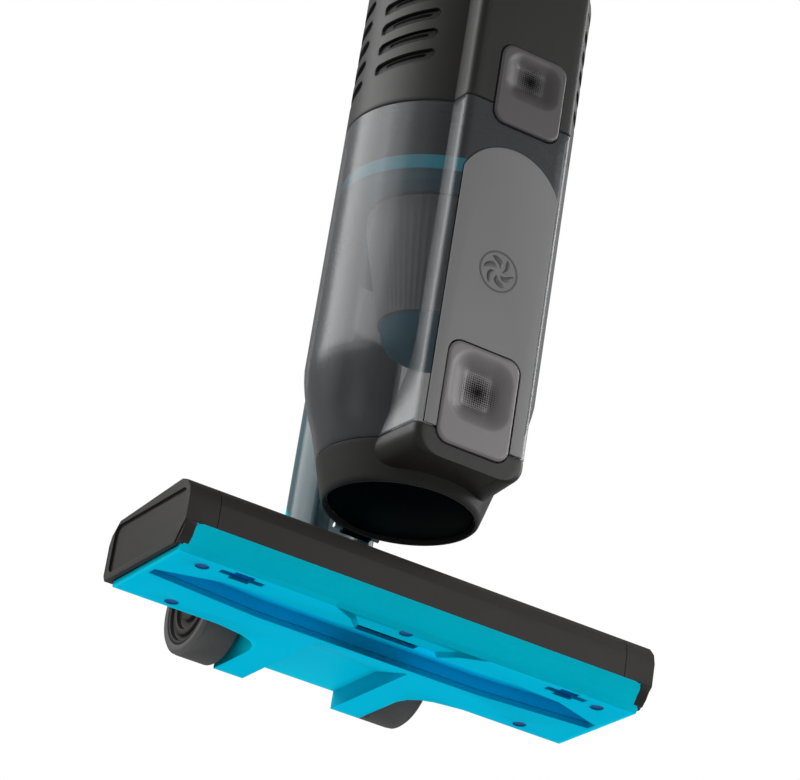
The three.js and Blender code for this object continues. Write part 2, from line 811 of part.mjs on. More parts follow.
// Buttons: a thin cap with a thumb scoop and a stem behind it.
function scoop(x, z, halfWidth, halfHeight, depth) {
  const ball = new THREE.SphereGeometry(1, 10, 6);
  ball.scale(halfWidth, depth, halfHeight).translate(x, buttonFront, z);
  return solid(ball);
}
function buttonCap({ x, half, low, high, corner }, scoopLow, back) {
  const shape = roundRect(x - half, x + half, low, high, corner);
  const middle = (scoopLow + high - 2.5) / 2;
  return cut(
    slab('y', shape, buttonFront, back),
    scoop(x, middle, half - 3, high - 2.5 - middle, 1.6),
  );
}
const bowlButtonCap = join(
  buttonCap(bowlButton, 269, -57.2),
  bar('y', 3, -57.5, -55.2, [bowlButton.x, 282], coarse),
);
mesh('bowl_button', bowlButtonCap, buttonGrey, handVac);
mesh('bowl_button_spring', tube('y', 4.4, 3.4, -55.4, -53.6, [bowlButton.x, 267], coarse), steel, handVac);
const powerCap = cut(
  box(-9, 9, -45, -20, handle.top - 4.4, handle.top + 0.8),
  hull([
    [-6, -42, handle.top + 1],
    [6, -42, handle.top + 1],
    [-6, -23, handle.top + 1],
    [6, -23, handle.top + 1],
    [-3, -36, handle.top - 0.6],
    [3, -36, handle.top - 0.6],
    [-3, -29, handle.top - 0.6],
    [3, -29, handle.top - 0.6],
  ]),
);
mesh('power_button', powerCap, buttonGrey, handVac);
mesh('power_switch', box(-4, 4, -37, -28, handle.top - 7.7, handle.top - 6.6), black, handVac);

// ---- dust bowl ----
function dustBowl() {
  const low = bowl.collarTop + gap;
  const outer = join(roundEnvelope(low, bowl.top), spineBlock(low, bowl.top), cheeks(low, 121));
  const dustRoom = roundEnvelope(low - 1, bowl.top + 1, -bowl.wall);
  const buttonRoom = cut(spineBlock(low - 1, 118, 2, -30), roundEnvelope(low - 2, 130));
  return cut(
    outer,
    dustRoom,
    buttonRoom,
    buttonPocket(doorButton, -55.5),
    buttonPocket(bowlButton, -54.6),
    box(bowlButton.x - 18.6, bowlButton.x + 18.6, -62, -54.6, 258, 264),
    box(-inletPort.half, inletPort.half, 48, 60, inletPort.low, inletPort.high),
  );
}
mesh('dust_bowl', dustBowl(), smoke, dustBin);

function collar() {
  const { collarBottom: low, collarTop: high } = bowl;
  const body = join(roundEnvelope(low, high), cut(spineBlock(75.5, high), spineFoot()), cheeks(78, high));
  const foot = cut(body, roundEnvelope(low - 1, high + 1, -bowl.wall));
  const buttonRoom = cut(spineBlock(79.5, high + 1, 2.4, -30), roundEnvelope(low - 2, 130));
  const doorSeat = turned([
    [0, 60],
    [35.4, 60],
    [35.4, 75],
    [0, 75],
  ]);
  const lugs = [-1, 1].map((s) => box(...span(s, 8.5, 12.5), 34.5, 43.6, 69.6, 76.5));
  return cut(
    join(foot, ...lugs),
    doorSeat,
    buttonRoom,
    buttonPocket(doorButton, -55.5),
    box(-8.4, 8.4, 33, 46, 60, 74),
    bar('x', 1.6, -20, 20, [hinge.y, hinge.z], coarse),
  );
}
const hinge = { y: 41, z: 71.4 };
mesh('bowl_collar', collar(), charcoal, dustBin);

function spinePanel() {
  const half = 26.3;
  const shoulder = 223;
  const rise = 17.5;
  const radius = (half * half + rise * rise) / (2 * rise);
  const reach = Math.asin(half / radius);
  const shape = new THREE.Shape();
  shape.moveTo(-half, bowl.collarTop + gap + 0.2).lineTo(half, bowl.collarTop + gap + 0.2);
  shape.lineTo(half, shoulder);
  shape.absarc(0, shoulder + rise - radius, radius, Math.PI / 2 - reach, Math.PI / 2 + reach);
  return cut(
    slab('y', shape, spine.front - 0.9, spine.front - 0.2, 12),
    buttonPocket(doorButton, -50),
  );
}
mesh('spine_panel', spinePanel(), panelGrey, dustBin);

const doorButtonCap = join(
  buttonCap(doorButton, 96, -57.6),
  bar('y', 3, -57.9, -54.4, [0, 95], coarse),
);
mesh('door_button', doorButtonCap, buttonGrey, dustBin);
mesh('door_button_spring', tube('y', 4.2, 3.3, -51.5, -49.5, [0, 95], coarse), steel, dustBin);

function binDoor() {
  const disc = turned([
    [0, 71],
    [33, 71],
    [34.8, 72],
    [34.8, 73.6],
    [0, 73.6],
  ]);
  const arm = box(-7.6, 7.6, 33, hinge.y, 71.6, 73.4);
  const barrel = bar('x', 2.6, -7.6, 7.6, [hinge.y, hinge.z], coarse);
  return cut(join(disc, arm, barrel), bar('x', 1.3, -20, 20, [hinge.y, hinge.z], coarse));
}
mesh('bin_door', binDoor(), black, dustBin);
mesh('bin_door_seal', tube('z', 33.6, 31, 73.9, 75.4, [0, 0], medium), rubber, dustBin);
mesh('bin_door_pin', bar('x', 1.2, -12.4, 12.4, [hinge.y, hinge.z], coarse), steel, dustBin);

root.position.y = (-buttonFront - (wheel.y + wheel.radius)) / 2;

export default root;
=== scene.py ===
import json
import math

import bmesh
import bpy
import numpy as np
from mathutils import Matrix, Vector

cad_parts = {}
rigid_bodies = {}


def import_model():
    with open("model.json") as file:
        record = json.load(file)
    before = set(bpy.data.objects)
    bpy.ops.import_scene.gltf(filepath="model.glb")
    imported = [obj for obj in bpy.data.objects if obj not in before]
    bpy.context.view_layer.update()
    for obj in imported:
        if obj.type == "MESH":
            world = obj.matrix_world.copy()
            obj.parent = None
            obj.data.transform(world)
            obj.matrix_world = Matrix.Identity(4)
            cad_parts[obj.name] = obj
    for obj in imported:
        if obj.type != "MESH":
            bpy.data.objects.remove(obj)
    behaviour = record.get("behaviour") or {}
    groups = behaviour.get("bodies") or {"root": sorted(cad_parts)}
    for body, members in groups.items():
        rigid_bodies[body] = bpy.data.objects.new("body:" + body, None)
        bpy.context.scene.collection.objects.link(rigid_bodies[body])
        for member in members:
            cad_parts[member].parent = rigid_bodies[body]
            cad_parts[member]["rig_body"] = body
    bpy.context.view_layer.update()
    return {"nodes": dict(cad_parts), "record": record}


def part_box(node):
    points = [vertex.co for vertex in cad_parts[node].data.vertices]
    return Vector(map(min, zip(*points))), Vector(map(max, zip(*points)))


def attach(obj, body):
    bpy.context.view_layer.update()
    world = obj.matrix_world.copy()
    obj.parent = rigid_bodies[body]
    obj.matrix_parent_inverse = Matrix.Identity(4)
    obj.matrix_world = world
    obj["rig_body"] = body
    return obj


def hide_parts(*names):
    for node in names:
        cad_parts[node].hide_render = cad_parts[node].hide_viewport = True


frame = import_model()
nodes = frame["nodes"]
mm = 0.001
axisY = (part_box("filter_frame")[0][1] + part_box("filter_frame")[1][1]) / 2  # the bowl's upright axis
print("frame loaded:", len(nodes), "nodes")


# Shapes as grids. Pieces are in millimetres from the bowl's axis and the floor.
# Materials and the studio are in metres.
def filleted(points, radius, steps=4):  # each corner of a closed outline becomes a small parabola
    points = np.asarray(points, float)
    before, after = np.roll(points, 1, axis=0) - points, np.roll(points, -1, axis=0) - points
    lengthBefore = np.linalg.norm(before, axis=1, keepdims=True)
    lengthAfter = np.linalg.norm(after, axis=1, keepdims=True)
    reach = np.minimum(radius, 0.45 * np.minimum(lengthBefore, lengthAfter))
    start, end = points + before / lengthBefore * reach, points + after / lengthAfter * reach
    t = np.linspace(0, 1, steps + 1)[None, :, None]
    arcs = (1 - t) ** 2 * start[:, None] + 2 * t * (1 - t) * points[:, None] + t * t * end[:, None]
    return arcs.reshape(-1, 2)


def roundRect(x0, x1, y0, y1, radius, steps=8):  # four quarter circles joined by straight sides
    turn = np.linspace(0, math.pi / 2, steps + 1)
    corners = [(x1 - radius, y1 - radius, 0), (x0 + radius, y1 - radius, 1),
               (x0 + radius, y0 + radius, 2), (x1 - radius, y0 + radius, 3)]
    arcs = []
    for cx, cy, quarter in corners:
        angle = turn + quarter * math.pi / 2
        arcs.append(np.stack([cx + radius * np.cos(angle), cy + radius * np.sin(angle)], axis=1))
    return np.concatenate(arcs)


def moved(outline, offset):  # a closed outline moved inwards along its corner normals
    outline = np.asarray(outline, float)
    along = np.roll(outline, -1, axis=0) - np.roll(outline, 1, axis=0)
    along /= np.maximum(np.linalg.norm(along, axis=1, keepdims=True), 1e-9)
    area = np.sum(outline[:, 0] * np.roll(outline[:, 1], -1) - np.roll(outline[:, 0], -1) * outline[:, 1])
    inward = np.stack([-along[:, 1], along[:, 0]], axis=1) * np.sign(area)
    return outline + inward * offset


def evenly(outline, count):  # points at equal steps along a closed outline
    closed = np.concatenate([outline, outline[:1]])
    along = np.concatenate([[0], np.cumsum(np.linalg.norm(np.diff(closed, axis=0), axis=1))])
    at = np.linspace(0, along[-1], count, endpoint=False)
    return np.stack([np.interp(at, along, closed[:, 0]), np.interp(at, along, closed[:, 1])], axis=1)


def facing(flat, height, axis):  # puts a flat outline at a height along one axis
    u, v = flat[:, 0], flat[:, 1]
    h = np.full(len(u), float(height))
    order = {"x": (h, u, v), "y": (u, h, v), "z": (u, v, h)}[axis]
    return np.stack(order, axis=1)


def looped(rows):  # a grid whose last row joins its first
    return {"rows": np.array(rows), "wrap": True, "caps": False}


def capped(rows):  # a grid whose first and last rows are closed by flat ends
    return {"rows": np.array(rows), "wrap": False, "caps": True}


def plate(outline, axis, low, high, edge=0.6, steps=3):  # an outline pushed along an axis, with rounded rims
    turn = np.linspace(0, math.pi / 2, steps + 1)
    inset, rise = edge * (1 - np.sin(turn)), edge * (1 - np.cos(turn))
    lower = [facing(moved(outline, i), low + r, axis) for i, r in zip(inset, rise)]
    upper = [facing(moved(outline, i), high - r, axis) for i, r in zip(inset[::-1], rise[::-1])]
    return capped(lower + upper)


def turned(profile, sides=96, centre=(0, 0, 0), axis="z"):
    # A closed profile of (radius, height) is spun round an axis.
    profile = np.asarray(profile, float)
    angle = np.linspace(0, 2 * math.pi, sides, endpoint=False)
    r, h = profile[:, :1], np.repeat(profile[:, 1:], sides, axis=1)
    a, b = r * np.cos(angle), r * np.sin(angle)
    order = {"x": (h, a, b), "y": (b, h, a), "z": (a, b, h)}[axis]
    return looped(np.stack(order, axis=2) + np.asarray(centre, float))


def gridMesh(name, grids):  # quads between neighbouring rows of each grid, closed round each row
    points, faces, count = [], [], 0
    for grid in grids:
        rows = np.asarray(grid["rows"], float)
        n, m = rows.shape[:2]
        i = np.arange(n if grid["wrap"] else n - 1)[:, None]
        j = np.arange(m)[None, :]
        ring, side = (i + 1) % n, (j + 1) % m
        quads = np.stack([i * m + j, i * m + side, ring * m + side, ring * m + j], axis=2)
        faces += (quads.reshape(-1, 4) + count).tolist()
        if grid["caps"]:
            faces.append((np.arange(m)[::-1] + count).tolist())
            faces.append((np.arange(m) + (n - 1) * m + count).tolist())
        points.append(rows.reshape(-1, 3))
        count += n * m
    world = np.concatenate(points) * mm + np.array([0, axisY, 0])
    mesh = bpy.data.meshes.new(name)
    mesh.from_pydata(world.tolist(), [], faces)
    work = bmesh.new()
    work.from_mesh(mesh)
    bmesh.ops.remove_doubles(work, verts=work.verts, dist=2e-6)
    bmesh.ops.recalc_face_normals(work, faces=work.faces)
    work.to_mesh(mesh)
    work.free()
    return mesh


def smoothed(mesh, degrees):  # smooth shading with sharp edges kept past an angle
    mesh.shade_smooth()
    mesh.set_sharp_from_angle(angle=math.radians(degrees))


def carved(obj, grids):  # takes closed cutters out of a piece and keeps the result as its mesh
    for grid in grids:
        cutter = bpy.data.objects.new("cutter", gridMesh("cutter", [grid]))
        bpy.context.scene.collection.objects.link(cutter)
        step = obj.modifiers.new("carve", "BOOLEAN")
        step.operation = "DIFFERENCE"
        step.solver = "EXACT"
        step.object = cutter
        bpy.context.view_layer.update()
        result = bpy.data.meshes.new_from_object(obj.evaluated_get(bpy.context.evaluated_depsgraph_get()))
        obj.modifiers.clear()
        obj.data = result
        bpy.data.objects.remove(cutter)


def finishPiece(obj, body, material, replaced, degrees):  # its shading, finish, body and nodes
    smoothed(obj.data, degrees)
    obj.data.materials.clear()
    obj.data.materials.append(material)
    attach(obj, body)
    if replaced:
        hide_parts(*replaced)
    return obj


def piece(name, grids, body, material, replaced=(), degrees=34, cutters=()):  # an object from grids
    obj = bpy.data.objects.new(name, gridMesh(name, grids))
    bpy.context.scene.collection.objects.link(obj)
    carved(obj, cutters)
    return finishPiece(obj, body, material, replaced, degrees)


def softened(node, width, degrees=38, segments=3):  # a node's own shape with its edges rounded
    mesh = nodes[node].data.copy()
    work = bmesh.new()
    work.from_mesh(mesh)
    bmesh.ops.remove_doubles(work, verts=work.verts, dist=2e-6)
    bmesh.ops.dissolve_limit(work, angle_limit=math.radians(0.4), verts=work.verts, edges=work.edges)
    work.to_mesh(mesh)
    work.free()
    obj = bpy.data.objects.new(node + "_soft", mesh)
    bpy.context.scene.collection.objects.link(obj)
    bevel = obj.modifiers.new("edges", "BEVEL")
    bevel.width = width * mm
    bevel.segments = segments
    bevel.limit_method = "ANGLE"
    bevel.angle_limit = math.radians(degrees)
    bevel.use_clamp_overlap = True
    part = slotOf[node]
    return finishPiece(obj, nodes[node]["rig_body"], finishes[part], [node], degrees)


# Finishes.
def newGroup(name, inputs, outputs):  # a node group with its numbered inputs and its outputs
    group = bpy.data.node_groups.new(name, "ShaderNodeTree")
    for label, value in inputs:
        socket = group.interface.new_socket(name=label, in_out="INPUT", socket_type="NodeSocketFloat")
        socket.default_value = value
    for label, kind in outputs:
        group.interface.new_socket(name=label, in_out="OUTPUT", socket_type=kind)
    return group, group.nodes.new("NodeGroupInput"), group.nodes.new("NodeGroupOutput")


def mathNode(tree, operation, a, b=None, c=None, clamp=False):  # one Math node fed by sockets or numbers
    node = tree.nodes.new("ShaderNodeMath")
    node.operation = operation
    node.use_clamp = clamp
    for socket, value in zip(node.inputs, (a, b, c)):
        if value is None:
            continue
        if isinstance(value, (int, float)):
            socket.default_value = value
        else:
            tree.links.new(value, socket)
    return node.outputs[0]


def mouldedGrainGroup():  # fine moulded grain, broad colour drift and pale worn edges
    group, inputs, outputs = newGroup(
        "mouldedGrain",
        [("Grain", 900.0), ("Depth", 0.2), ("Drift", 0.1), ("Wear", 0.2)],
        [("Shade", "NodeSocketFloat"), ("Rough", "NodeSocketFloat"), ("Normal", "NodeSocketVector")],
    )
    place = group.nodes.new("ShaderNodeTexCoord")
    grain = group.nodes.new("ShaderNodeTexNoise")
    grain.inputs["Detail"].default_value = 3
    broad = group.nodes.new("ShaderNodeTexNoise")
    broad.inputs["Scale"].default_value = 22
    broad.inputs["Detail"].default_value = 4
    group.links.new(place.outputs["Object"], grain.inputs["Vector"])
    group.links.new(place.outputs["Object"], broad.inputs["Vector"])
    group.links.new(inputs.outputs["Grain"], grain.inputs["Scale"])
    bump = group.nodes.new("ShaderNodeBump")
    bump.inputs["Distance"].default_value = 0.0002
    group.links.new(inputs.outputs["Depth"], bump.inputs["Strength"])
    group.links.new(grain.outputs["Fac"], bump.inputs["Height"])
    corner = group.nodes.new("ShaderNodeNewGeometry")
    edge = mathNode(group, "MULTIPLY_ADD", corner.outputs["Pointiness"], 14.0, -7.25, clamp=True)
    worn = mathNode(group, "MULTIPLY", edge, inputs.outputs["Wear"])
    drift = mathNode(group, "MULTIPLY_ADD", broad.outputs["Fac"], 2.0, -1.0)
    drift = mathNode(group, "MULTIPLY", drift, inputs.outputs["Drift"])
    shade = mathNode(group, "ADD", mathNode(group, "ADD", drift, worn), 1.0)
    group.links.new(shade, outputs.inputs["Shade"])
    uneven = mathNode(group, "ADD", grain.outputs["Fac"], -0.5)
    uneven = mathNode(group, "MULTIPLY", uneven, inputs.outputs["Depth"])
    rough = mathNode(group, "MULTIPLY_ADD", uneven, 0.8, 1.0)
    group.links.new(mathNode(group, "ADD", rough, drift), outputs.inputs["Rough"])
    group.links.new(bump.outputs["Normal"], outputs.inputs["Normal"])
    return group


grainGroup = mouldedGrainGroup()


def finish(name, color, rough, grain=1400.0, depth=0.25, drift=0.08, wear=0.12, metallic=0.0,
           opacity=1.0, specular=0.5, coat=0.0, paintedGlow=0.0, extra=None, brushed=False):
    # The colour times the grain's shade, its roughness times the grain's, and a rim for clear walls.
    material = bpy.data.materials.new(name)
    material.use_nodes = True
    tree = material.node_tree
    shader = tree.nodes["Principled BSDF"]
    detail = tree.nodes.new("ShaderNodeGroup")
    detail.node_tree = grainGroup
    for label, value in (("Grain", grain), ("Depth", depth), ("Drift", drift), ("Wear", wear)):
        detail.inputs[label].default_value = value
    tint = tree.nodes.new("ShaderNodeVectorMath")
    tint.operation = "SCALE"
    tint.inputs[0].default_value = color
    tree.links.new(detail.outputs["Shade"], tint.inputs["Scale"])
    painted = tint.outputs[0]
    if extra:
        painted = extra(tree, painted)
    tree.links.new(painted, shader.inputs["Base Color"])
    roughness = mathNode(tree, "MULTIPLY", detail.outputs["Rough"], rough, clamp=True)
    tree.links.new(roughness, shader.inputs["Roughness"])
    tree.links.new(detail.outputs["Normal"], shader.inputs["Normal"])
    shader.inputs["Metallic"].default_value = metallic
    shader.inputs["Specular IOR Level"].default_value = specular
    shader.inputs["Coat Weight"].default_value = coat
    # painted light: the colour also glows, though the part is no lamp
    if paintedGlow:
        tree.links.new(painted, shader.inputs["Emission Color"])
        shader.inputs["Emission Strength"].default_value = paintedGlow
    shader.inputs["Anisotropic"].default_value = 0.6 if brushed else 0.0
    if opacity < 1:
        rim = tree.nodes.new("ShaderNodeLayerWeight")
        rim.inputs["Blend"].default_value = 0.35
        gain = 0.9 - opacity * 0.6  # a clear wall looks denser towards its rim
        alpha = mathNode(tree, "MULTIPLY_ADD", rim.outputs["Facing"], gain, opacity, clamp=True)
        inside = tree.nodes.new("ShaderNodeNewGeometry")  # only the near side of each wall is seen
        front = mathNode(tree, "SUBTRACT", 1.0, inside.outputs["Backfacing"])
        tree.links.new(mathNode(tree, "MULTIPLY", alpha, front), shader.inputs["Alpha"])
    return material


def blended(tree, mask, color, dark):  # mixes a colour towards a fixed one by a mask
    mix = tree.nodes.new("ShaderNodeMix")
    mix.data_type = "RGBA"
    tree.links.new(mask, mix.inputs["Factor"])
    tree.links.new(color, mix.inputs["A"])
    mix.inputs["B"].default_value = (*dark, 1)
    return mix.outputs["Result"]


def blackened(tree, mask, color):  # black that mirrors nothing, since a metal takes its gloss from its colour; it paints the shade in vent slits and scoops, and the dark thumb dots
    tree.links.new(mask, tree.nodes["Principled BSDF"].inputs["Metallic"])
    return blended(tree, mask, color, (0.002, 0.002, 0.002))


def paintedVentShade(tree, color):  # painted shade: vent slits and the shadow under each scoop's upper rim fade to black by a value stored on the mesh
    layer = tree.nodes.new("ShaderNodeAttribute")
    layer.attribute_name = "ventShade"
    return blackened(tree, layer.outputs["Fac"], color)


# Limits and colour of the painted blue shade in the sole's recesses.
sole = {"deepFrom": 0.0004, "deepTo": 0.0017, "shallow": 0.0022, "ahead": 0.005, "level": -0.995,
        "recessShade": (0.0, 0.09, 0.3)}


def paintedRecessShade(tree, color):  # painted shade: screw wells and keyholes turn blue with their depth above the flat of the sole
    place = tree.nodes.new("ShaderNodeTexCoord")
    split = tree.nodes.new("ShaderNodeSeparateXYZ")
    tree.links.new(place.outputs["Object"], split.inputs[0])
    span = sole["deepTo"] - sole["deepFrom"]
    depth = mathNode(tree, "MULTIPLY_ADD", split.outputs["Z"], 1 / span, -sole["deepFrom"] / span, clamp=True)
    level = tree.nodes.new("ShaderNodeNewGeometry")
    turn = tree.nodes.new("ShaderNodeSeparateXYZ")
    tree.links.new(level.outputs["Normal"], turn.inputs[0])
    flat = mathNode(tree, "LESS_THAN", turn.outputs["Z"], sole["level"])
    shallow = mathNode(tree, "LESS_THAN", split.outputs["Z"], sole["shallow"])
    ahead = mathNode(tree, "LESS_THAN", split.outputs["Y"], sole["ahead"])
    deepFlat = mathNode(tree, "MULTIPLY", depth, flat)
    nearFront = mathNode(tree, "MULTIPLY", shallow, ahead)
    mask = mathNode(tree, "MULTIPLY", deepFlat, nearFront)
    return blended(tree, mask, color, sole["recessShade"])


def thumbDotsAndShade(centre, spread, deep):
    # Fine dark dots fade out with distance from the scoop's middle, over painted shade that grows with the
    # scoop's depth.
    def paint(tree, color):  # dots where a cell's distance is under the fading limit
        place = tree.nodes.new("ShaderNodeTexCoord")
        shift = tree.nodes.new("ShaderNodeMapping")
        shift.inputs["Location"].default_value = (-centre[0] * mm, 0, -centre[1] * mm)
        flatten = tree.nodes.new("ShaderNodeVectorMath")
        flatten.operation = "MULTIPLY"
        flatten.inputs[1].default_value = (1, 0, 1)
        tree.links.new(place.outputs["Object"], shift.inputs["Vector"])
        tree.links.new(shift.outputs["Vector"], flatten.inputs[0])
        reach = tree.nodes.new("ShaderNodeVectorMath")
        reach.operation = "LENGTH"
        tree.links.new(flatten.outputs[0], reach.inputs[0])
        dots = tree.nodes.new("ShaderNodeTexVoronoi")
        dots.inputs["Scale"].default_value = 900
        dots.inputs["Randomness"].default_value = 0.15
        tree.links.new(flatten.outputs[0], dots.inputs["Vector"])
        near = mathNode(tree, "MULTIPLY_ADD", reach.outputs["Value"], -1 / (spread * mm), 1.0, clamp=True)
        soft = mathNode(tree, "POWER", near, 0.6)
        dot = mathNode(tree, "LESS_THAN", dots.outputs["Distance"], mathNode(tree, "MULTIPLY", soft, 0.5))
        heart = mathNode(tree, "MULTIPLY", mathNode(tree, "POWER", near, 1.6), 0.8)
        split = tree.nodes.new("ShaderNodeSeparateXYZ")
        tree.links.new(place.outputs["Object"], split.inputs[0])
        flush = -(buttonFront * mm + axisY) / (deep * mm)  # no painted shade at the button's face
        depthShade = mathNode(tree, "MULTIPLY_ADD", split.outputs["Y"], 1 / (deep * mm), flush, clamp=True)
        # the dots' dark middle plus painted shade by depth
        heart = mathNode(tree, "MULTIPLY_ADD", depthShade, 0.5, heart)
        mask = mathNode(tree, "MULTIPLY_ADD", dot, 0.6, heart, clamp=True)
        return blackened(tree, mask, color)
    return paint


doorButton = {"x": 0.0, "half": 19.2, "low": 83.2, "high": 134.6, "corner": 6.5,
              "scoop": (-17.4, 17.4, 95.5, 132.8), "scoopCorner": 12.0, "ramp": 11.0, "depth": 4.0}
bowlButton = {"x": 3.0, "half": 18.1, "low": 252.6, "high": 294.8, "corner": 6.0,
              "scoop": (-15.6, 15.6, 267.0, 293.0), "scoopCorner": 9.0, "ramp": 8.5, "depth": 3.0}
buttonGrey = (0.15, 0.138, 0.143)
buttonFront = -60.4
finishes = {
    "head_black": finish("headBlack", (0.018, 0.0163, 0.0152), 0.5, drift=0.12, wear=0.5, specular=0.17),
    "sole_cyan": finish("soleCyan", (0.0, 0.47, 0.61), 0.55, drift=0.05, wear=0.08, specular=0.02,
                        extra=paintedRecessShade),
    # The channel's blue, bluer than the sole's cyan, is painted shade of the recessed channel.
    "channel_blue": finish("channelShadeBlue", (0.0, 0.54, 0.8), 0.5, specular=0.04),
    "housing_charcoal": finish("housingCharcoal", (0.015, 0.014, 0.0131), 0.42, drift=0.1, wear=0.5,
                               specular=0.28, extra=paintedVentShade),
    "button_grey": finish("buttonGrey", buttonGrey, 0.42, wear=0.15, specular=0.35),
    "panel_grey": finish("panelGrey", (0.25, 0.25, 0.252), 0.5, grain=2200.0, depth=0.12, drift=0.03,
                         specular=0.25, opacity=0.66),
    "bowl_smoke": finish("bowlSmoke", (0.04, 0.043, 0.048), 0.27, grain=500.0, depth=0.0, drift=0.05,
                         wear=0.0, opacity=0.6),
    "door_smoke": finish("doorSmoke", (0.001, 0.002, 0.003), 0.6, drift=0.15, wear=0.0, depth=0.05,
                         specular=0.02),
    "duct_teal": finish("ductTeal", (0.03, 0.085, 0.105), 0.25, grain=500.0, depth=0.0, wear=0.0,
                        specular=0.4, opacity=0.8),
    # The filter's cyan and teal glow a little: painted light inside the shadowed bowl.
    "filter_cyan": finish("filterCyan", (0.0, 0.5, 0.68), 0.5, specular=0.1, paintedGlow=0.2),
    "filter_teal": finish("filterTeal", (0.0, 0.15, 0.22), 0.5, specular=0.1, paintedGlow=0.08),
    "filter_grey": finish("filterGrey", (0.36, 0.37, 0.385), 0.85, grain=2600.0, depth=0.8, drift=0.15),
    "pale_plastic": finish("palePlastic", (0.32, 0.42, 0.45), 0.4),
    "wheel_tread": finish("wheelTread", (0.085, 0.085, 0.085), 0.62, grain=1800.0, depth=0.5, drift=0.15,
                          wear=0.2, specular=0.3),
    "seal_rubber": finish("sealRubber", (0.012, 0.012, 0.012), 0.72, depth=0.05, specular=0.12),
    "steel": finish("brightSteel", (0.55, 0.55, 0.56), 0.3, grain=3000.0, depth=0.1, metallic=1.0,
                    brushed=True),
    "winding": finish("copperWinding", (0.5, 0.19, 0.07), 0.38, grain=1500.0, depth=0.9, metallic=1.0),
    "board": finish("boardGreen", (0.015, 0.12, 0.05), 0.4, grain=420.0, depth=0.3, drift=0.5),
    "cell_wrap": finish("cellWrap", (0.015, 0.07, 0.28), 0.25, depth=0.08, coat=0.3),
}
slotOf = {part["node"]: part["material_slot"] for part in frame["record"]["subparts"]}
for name, node in nodes.items():
    node.data.materials.clear()
    node.data.materials.append(finishes[slotOf[name]])
# Painted shade: the sole's screws are dark blue so that their wells look shadowed.
screwWellShade = finish("screwWellShadeBlue", (0.0, 0.08, 0.26), 0.4, grain=900.0, specular=0.3)
for k in range(1, 6):
    nodes[f"sole_screw_{k}"].data.materials[0] = screwWellShade
print("finishes made:", len(finishes))

# The bowl's outline: a circle joined to the spine's square block, one row for each height.
spine = {"half": 30.0, "front": -59.0, "corner": 3.8, "draft": 0.2}
bodyRadius = 55.3  # of the bowl, the housing and the crown above the cone
taper = {"z": [69.3, 77, 85, 92, 99, 105, 112, 119, 124, 129, 134, 400],
         "r": [37.4, 39.6, 41.8, 43.8, 45.7, 47.5, 50.2, 52.4, 53.7, 54.7, bodyRadius, bodyRadius]}
cheek = {"low": 86.0, "top": 121.5, "spread": 2.2}
tucked = 20.0  # half the width of the block where it has shrunk into the circle


def bowlRadius(z):  # straight lines between the radii at stated heights
    return np.interp(z, taper["z"], taper["r"])


def sectionRows(heights, inset=0.0, counts=(12, 7, 10, 84), foot=None, cheeks=True):
    # Right half: front flat, corner arc, side wall back to the circle, then the circle.
    # The left half mirrors it. Below its foot the block shrinks back into the circle,
    # and towards the collar its sides spread into cheeks.
    z = np.asarray(heights, float)[:, None]
    radius = bowlRadius(z) - inset
    half = spine["half"] - inset + 0 * z
    front = spine["front"] + inset + 0 * z
    corner = max(spine["corner"] - inset, 0.8)
    if foot is not None:
        dip = np.clip((foot["bottom"] + foot["radius"] - z) / foot["radius"], 0, 1)
        half = half - foot["radius"] * (1 - np.sqrt(np.maximum(1 - dip ** 2, 0)))
        gone = z < foot["bottom"]
        front = np.where(gone, -np.sqrt(np.maximum(radius ** 2 - tucked ** 2, 1)), front)
        half = np.where(gone, tucked, half)
    share = np.clip((cheek["top"] - z) / (cheek["top"] - cheek["low"]), 0, 1)
    spread = share * cheek["spread"] if cheeks else 0 * z
    spread = np.maximum(spread, spine["draft"])
    joinX = np.minimum(half + spread, radius * 0.93)
    joinY = -np.sqrt(radius ** 2 - joinX ** 2)
    nFlat, nCorner, nSide, nArc = counts
    t = np.linspace(0, 1, nFlat, endpoint=False)[None, :]
    flat = np.stack([(half - corner) * t, front + 0 * t], axis=2)
    t = np.linspace(0, math.pi / 2, nCorner, endpoint=False)[None, :]
    arc = np.stack([half - corner + corner * np.sin(t), front + corner - corner * np.cos(t)], axis=2)
    t = np.linspace(0, 1, nSide, endpoint=False)[None, :]
    side = np.stack([half + (joinX - half) * t, front + corner + (joinY - front - corner) * t], axis=2)
    start = np.arctan2(joinX, -joinY)
    t = start + (math.pi - start) * np.linspace(0, 1, nArc)[None, :]
    back = np.stack([radius * np.sin(t), -radius * np.cos(t)], axis=2)
    right = np.concatenate([flat, arc, side, back], axis=1)
    if foot is not None:
        onCircle = -np.sqrt(np.maximum(radius ** 2 - right[..., 0] ** 2, 0))
        nBlock = nFlat + nCorner + nSide
        right[:, :nBlock, 1] = np.where(gone, onCircle[:, :nBlock], right[:, :nBlock, 1])
    left = right[:, -2:0:-1] * np.array([-1, 1])
    ring = np.concatenate([right, left], axis=1)
    return np.concatenate([ring, np.broadcast_to(z[:, :, None], ring.shape[:2] + (1,))], axis=2)


def shell(outer, inner):  # outer rows going up, then inner rows coming down
    return looped(np.concatenate([outer, inner[::-1]]))


pocketFront = -64.0  # ahead of every front face


def pocket(button, back, grow=0.9):  # the block that a button drops into, open to the front
    x, half = button["x"], button["half"] + grow
    low, high = button["low"] - grow, button["high"] + grow
    shape = roundRect(x - half, x + half, low, high, button["corner"] + grow)
    return plate(shape, "y", pocketFront, back, edge=0.01)


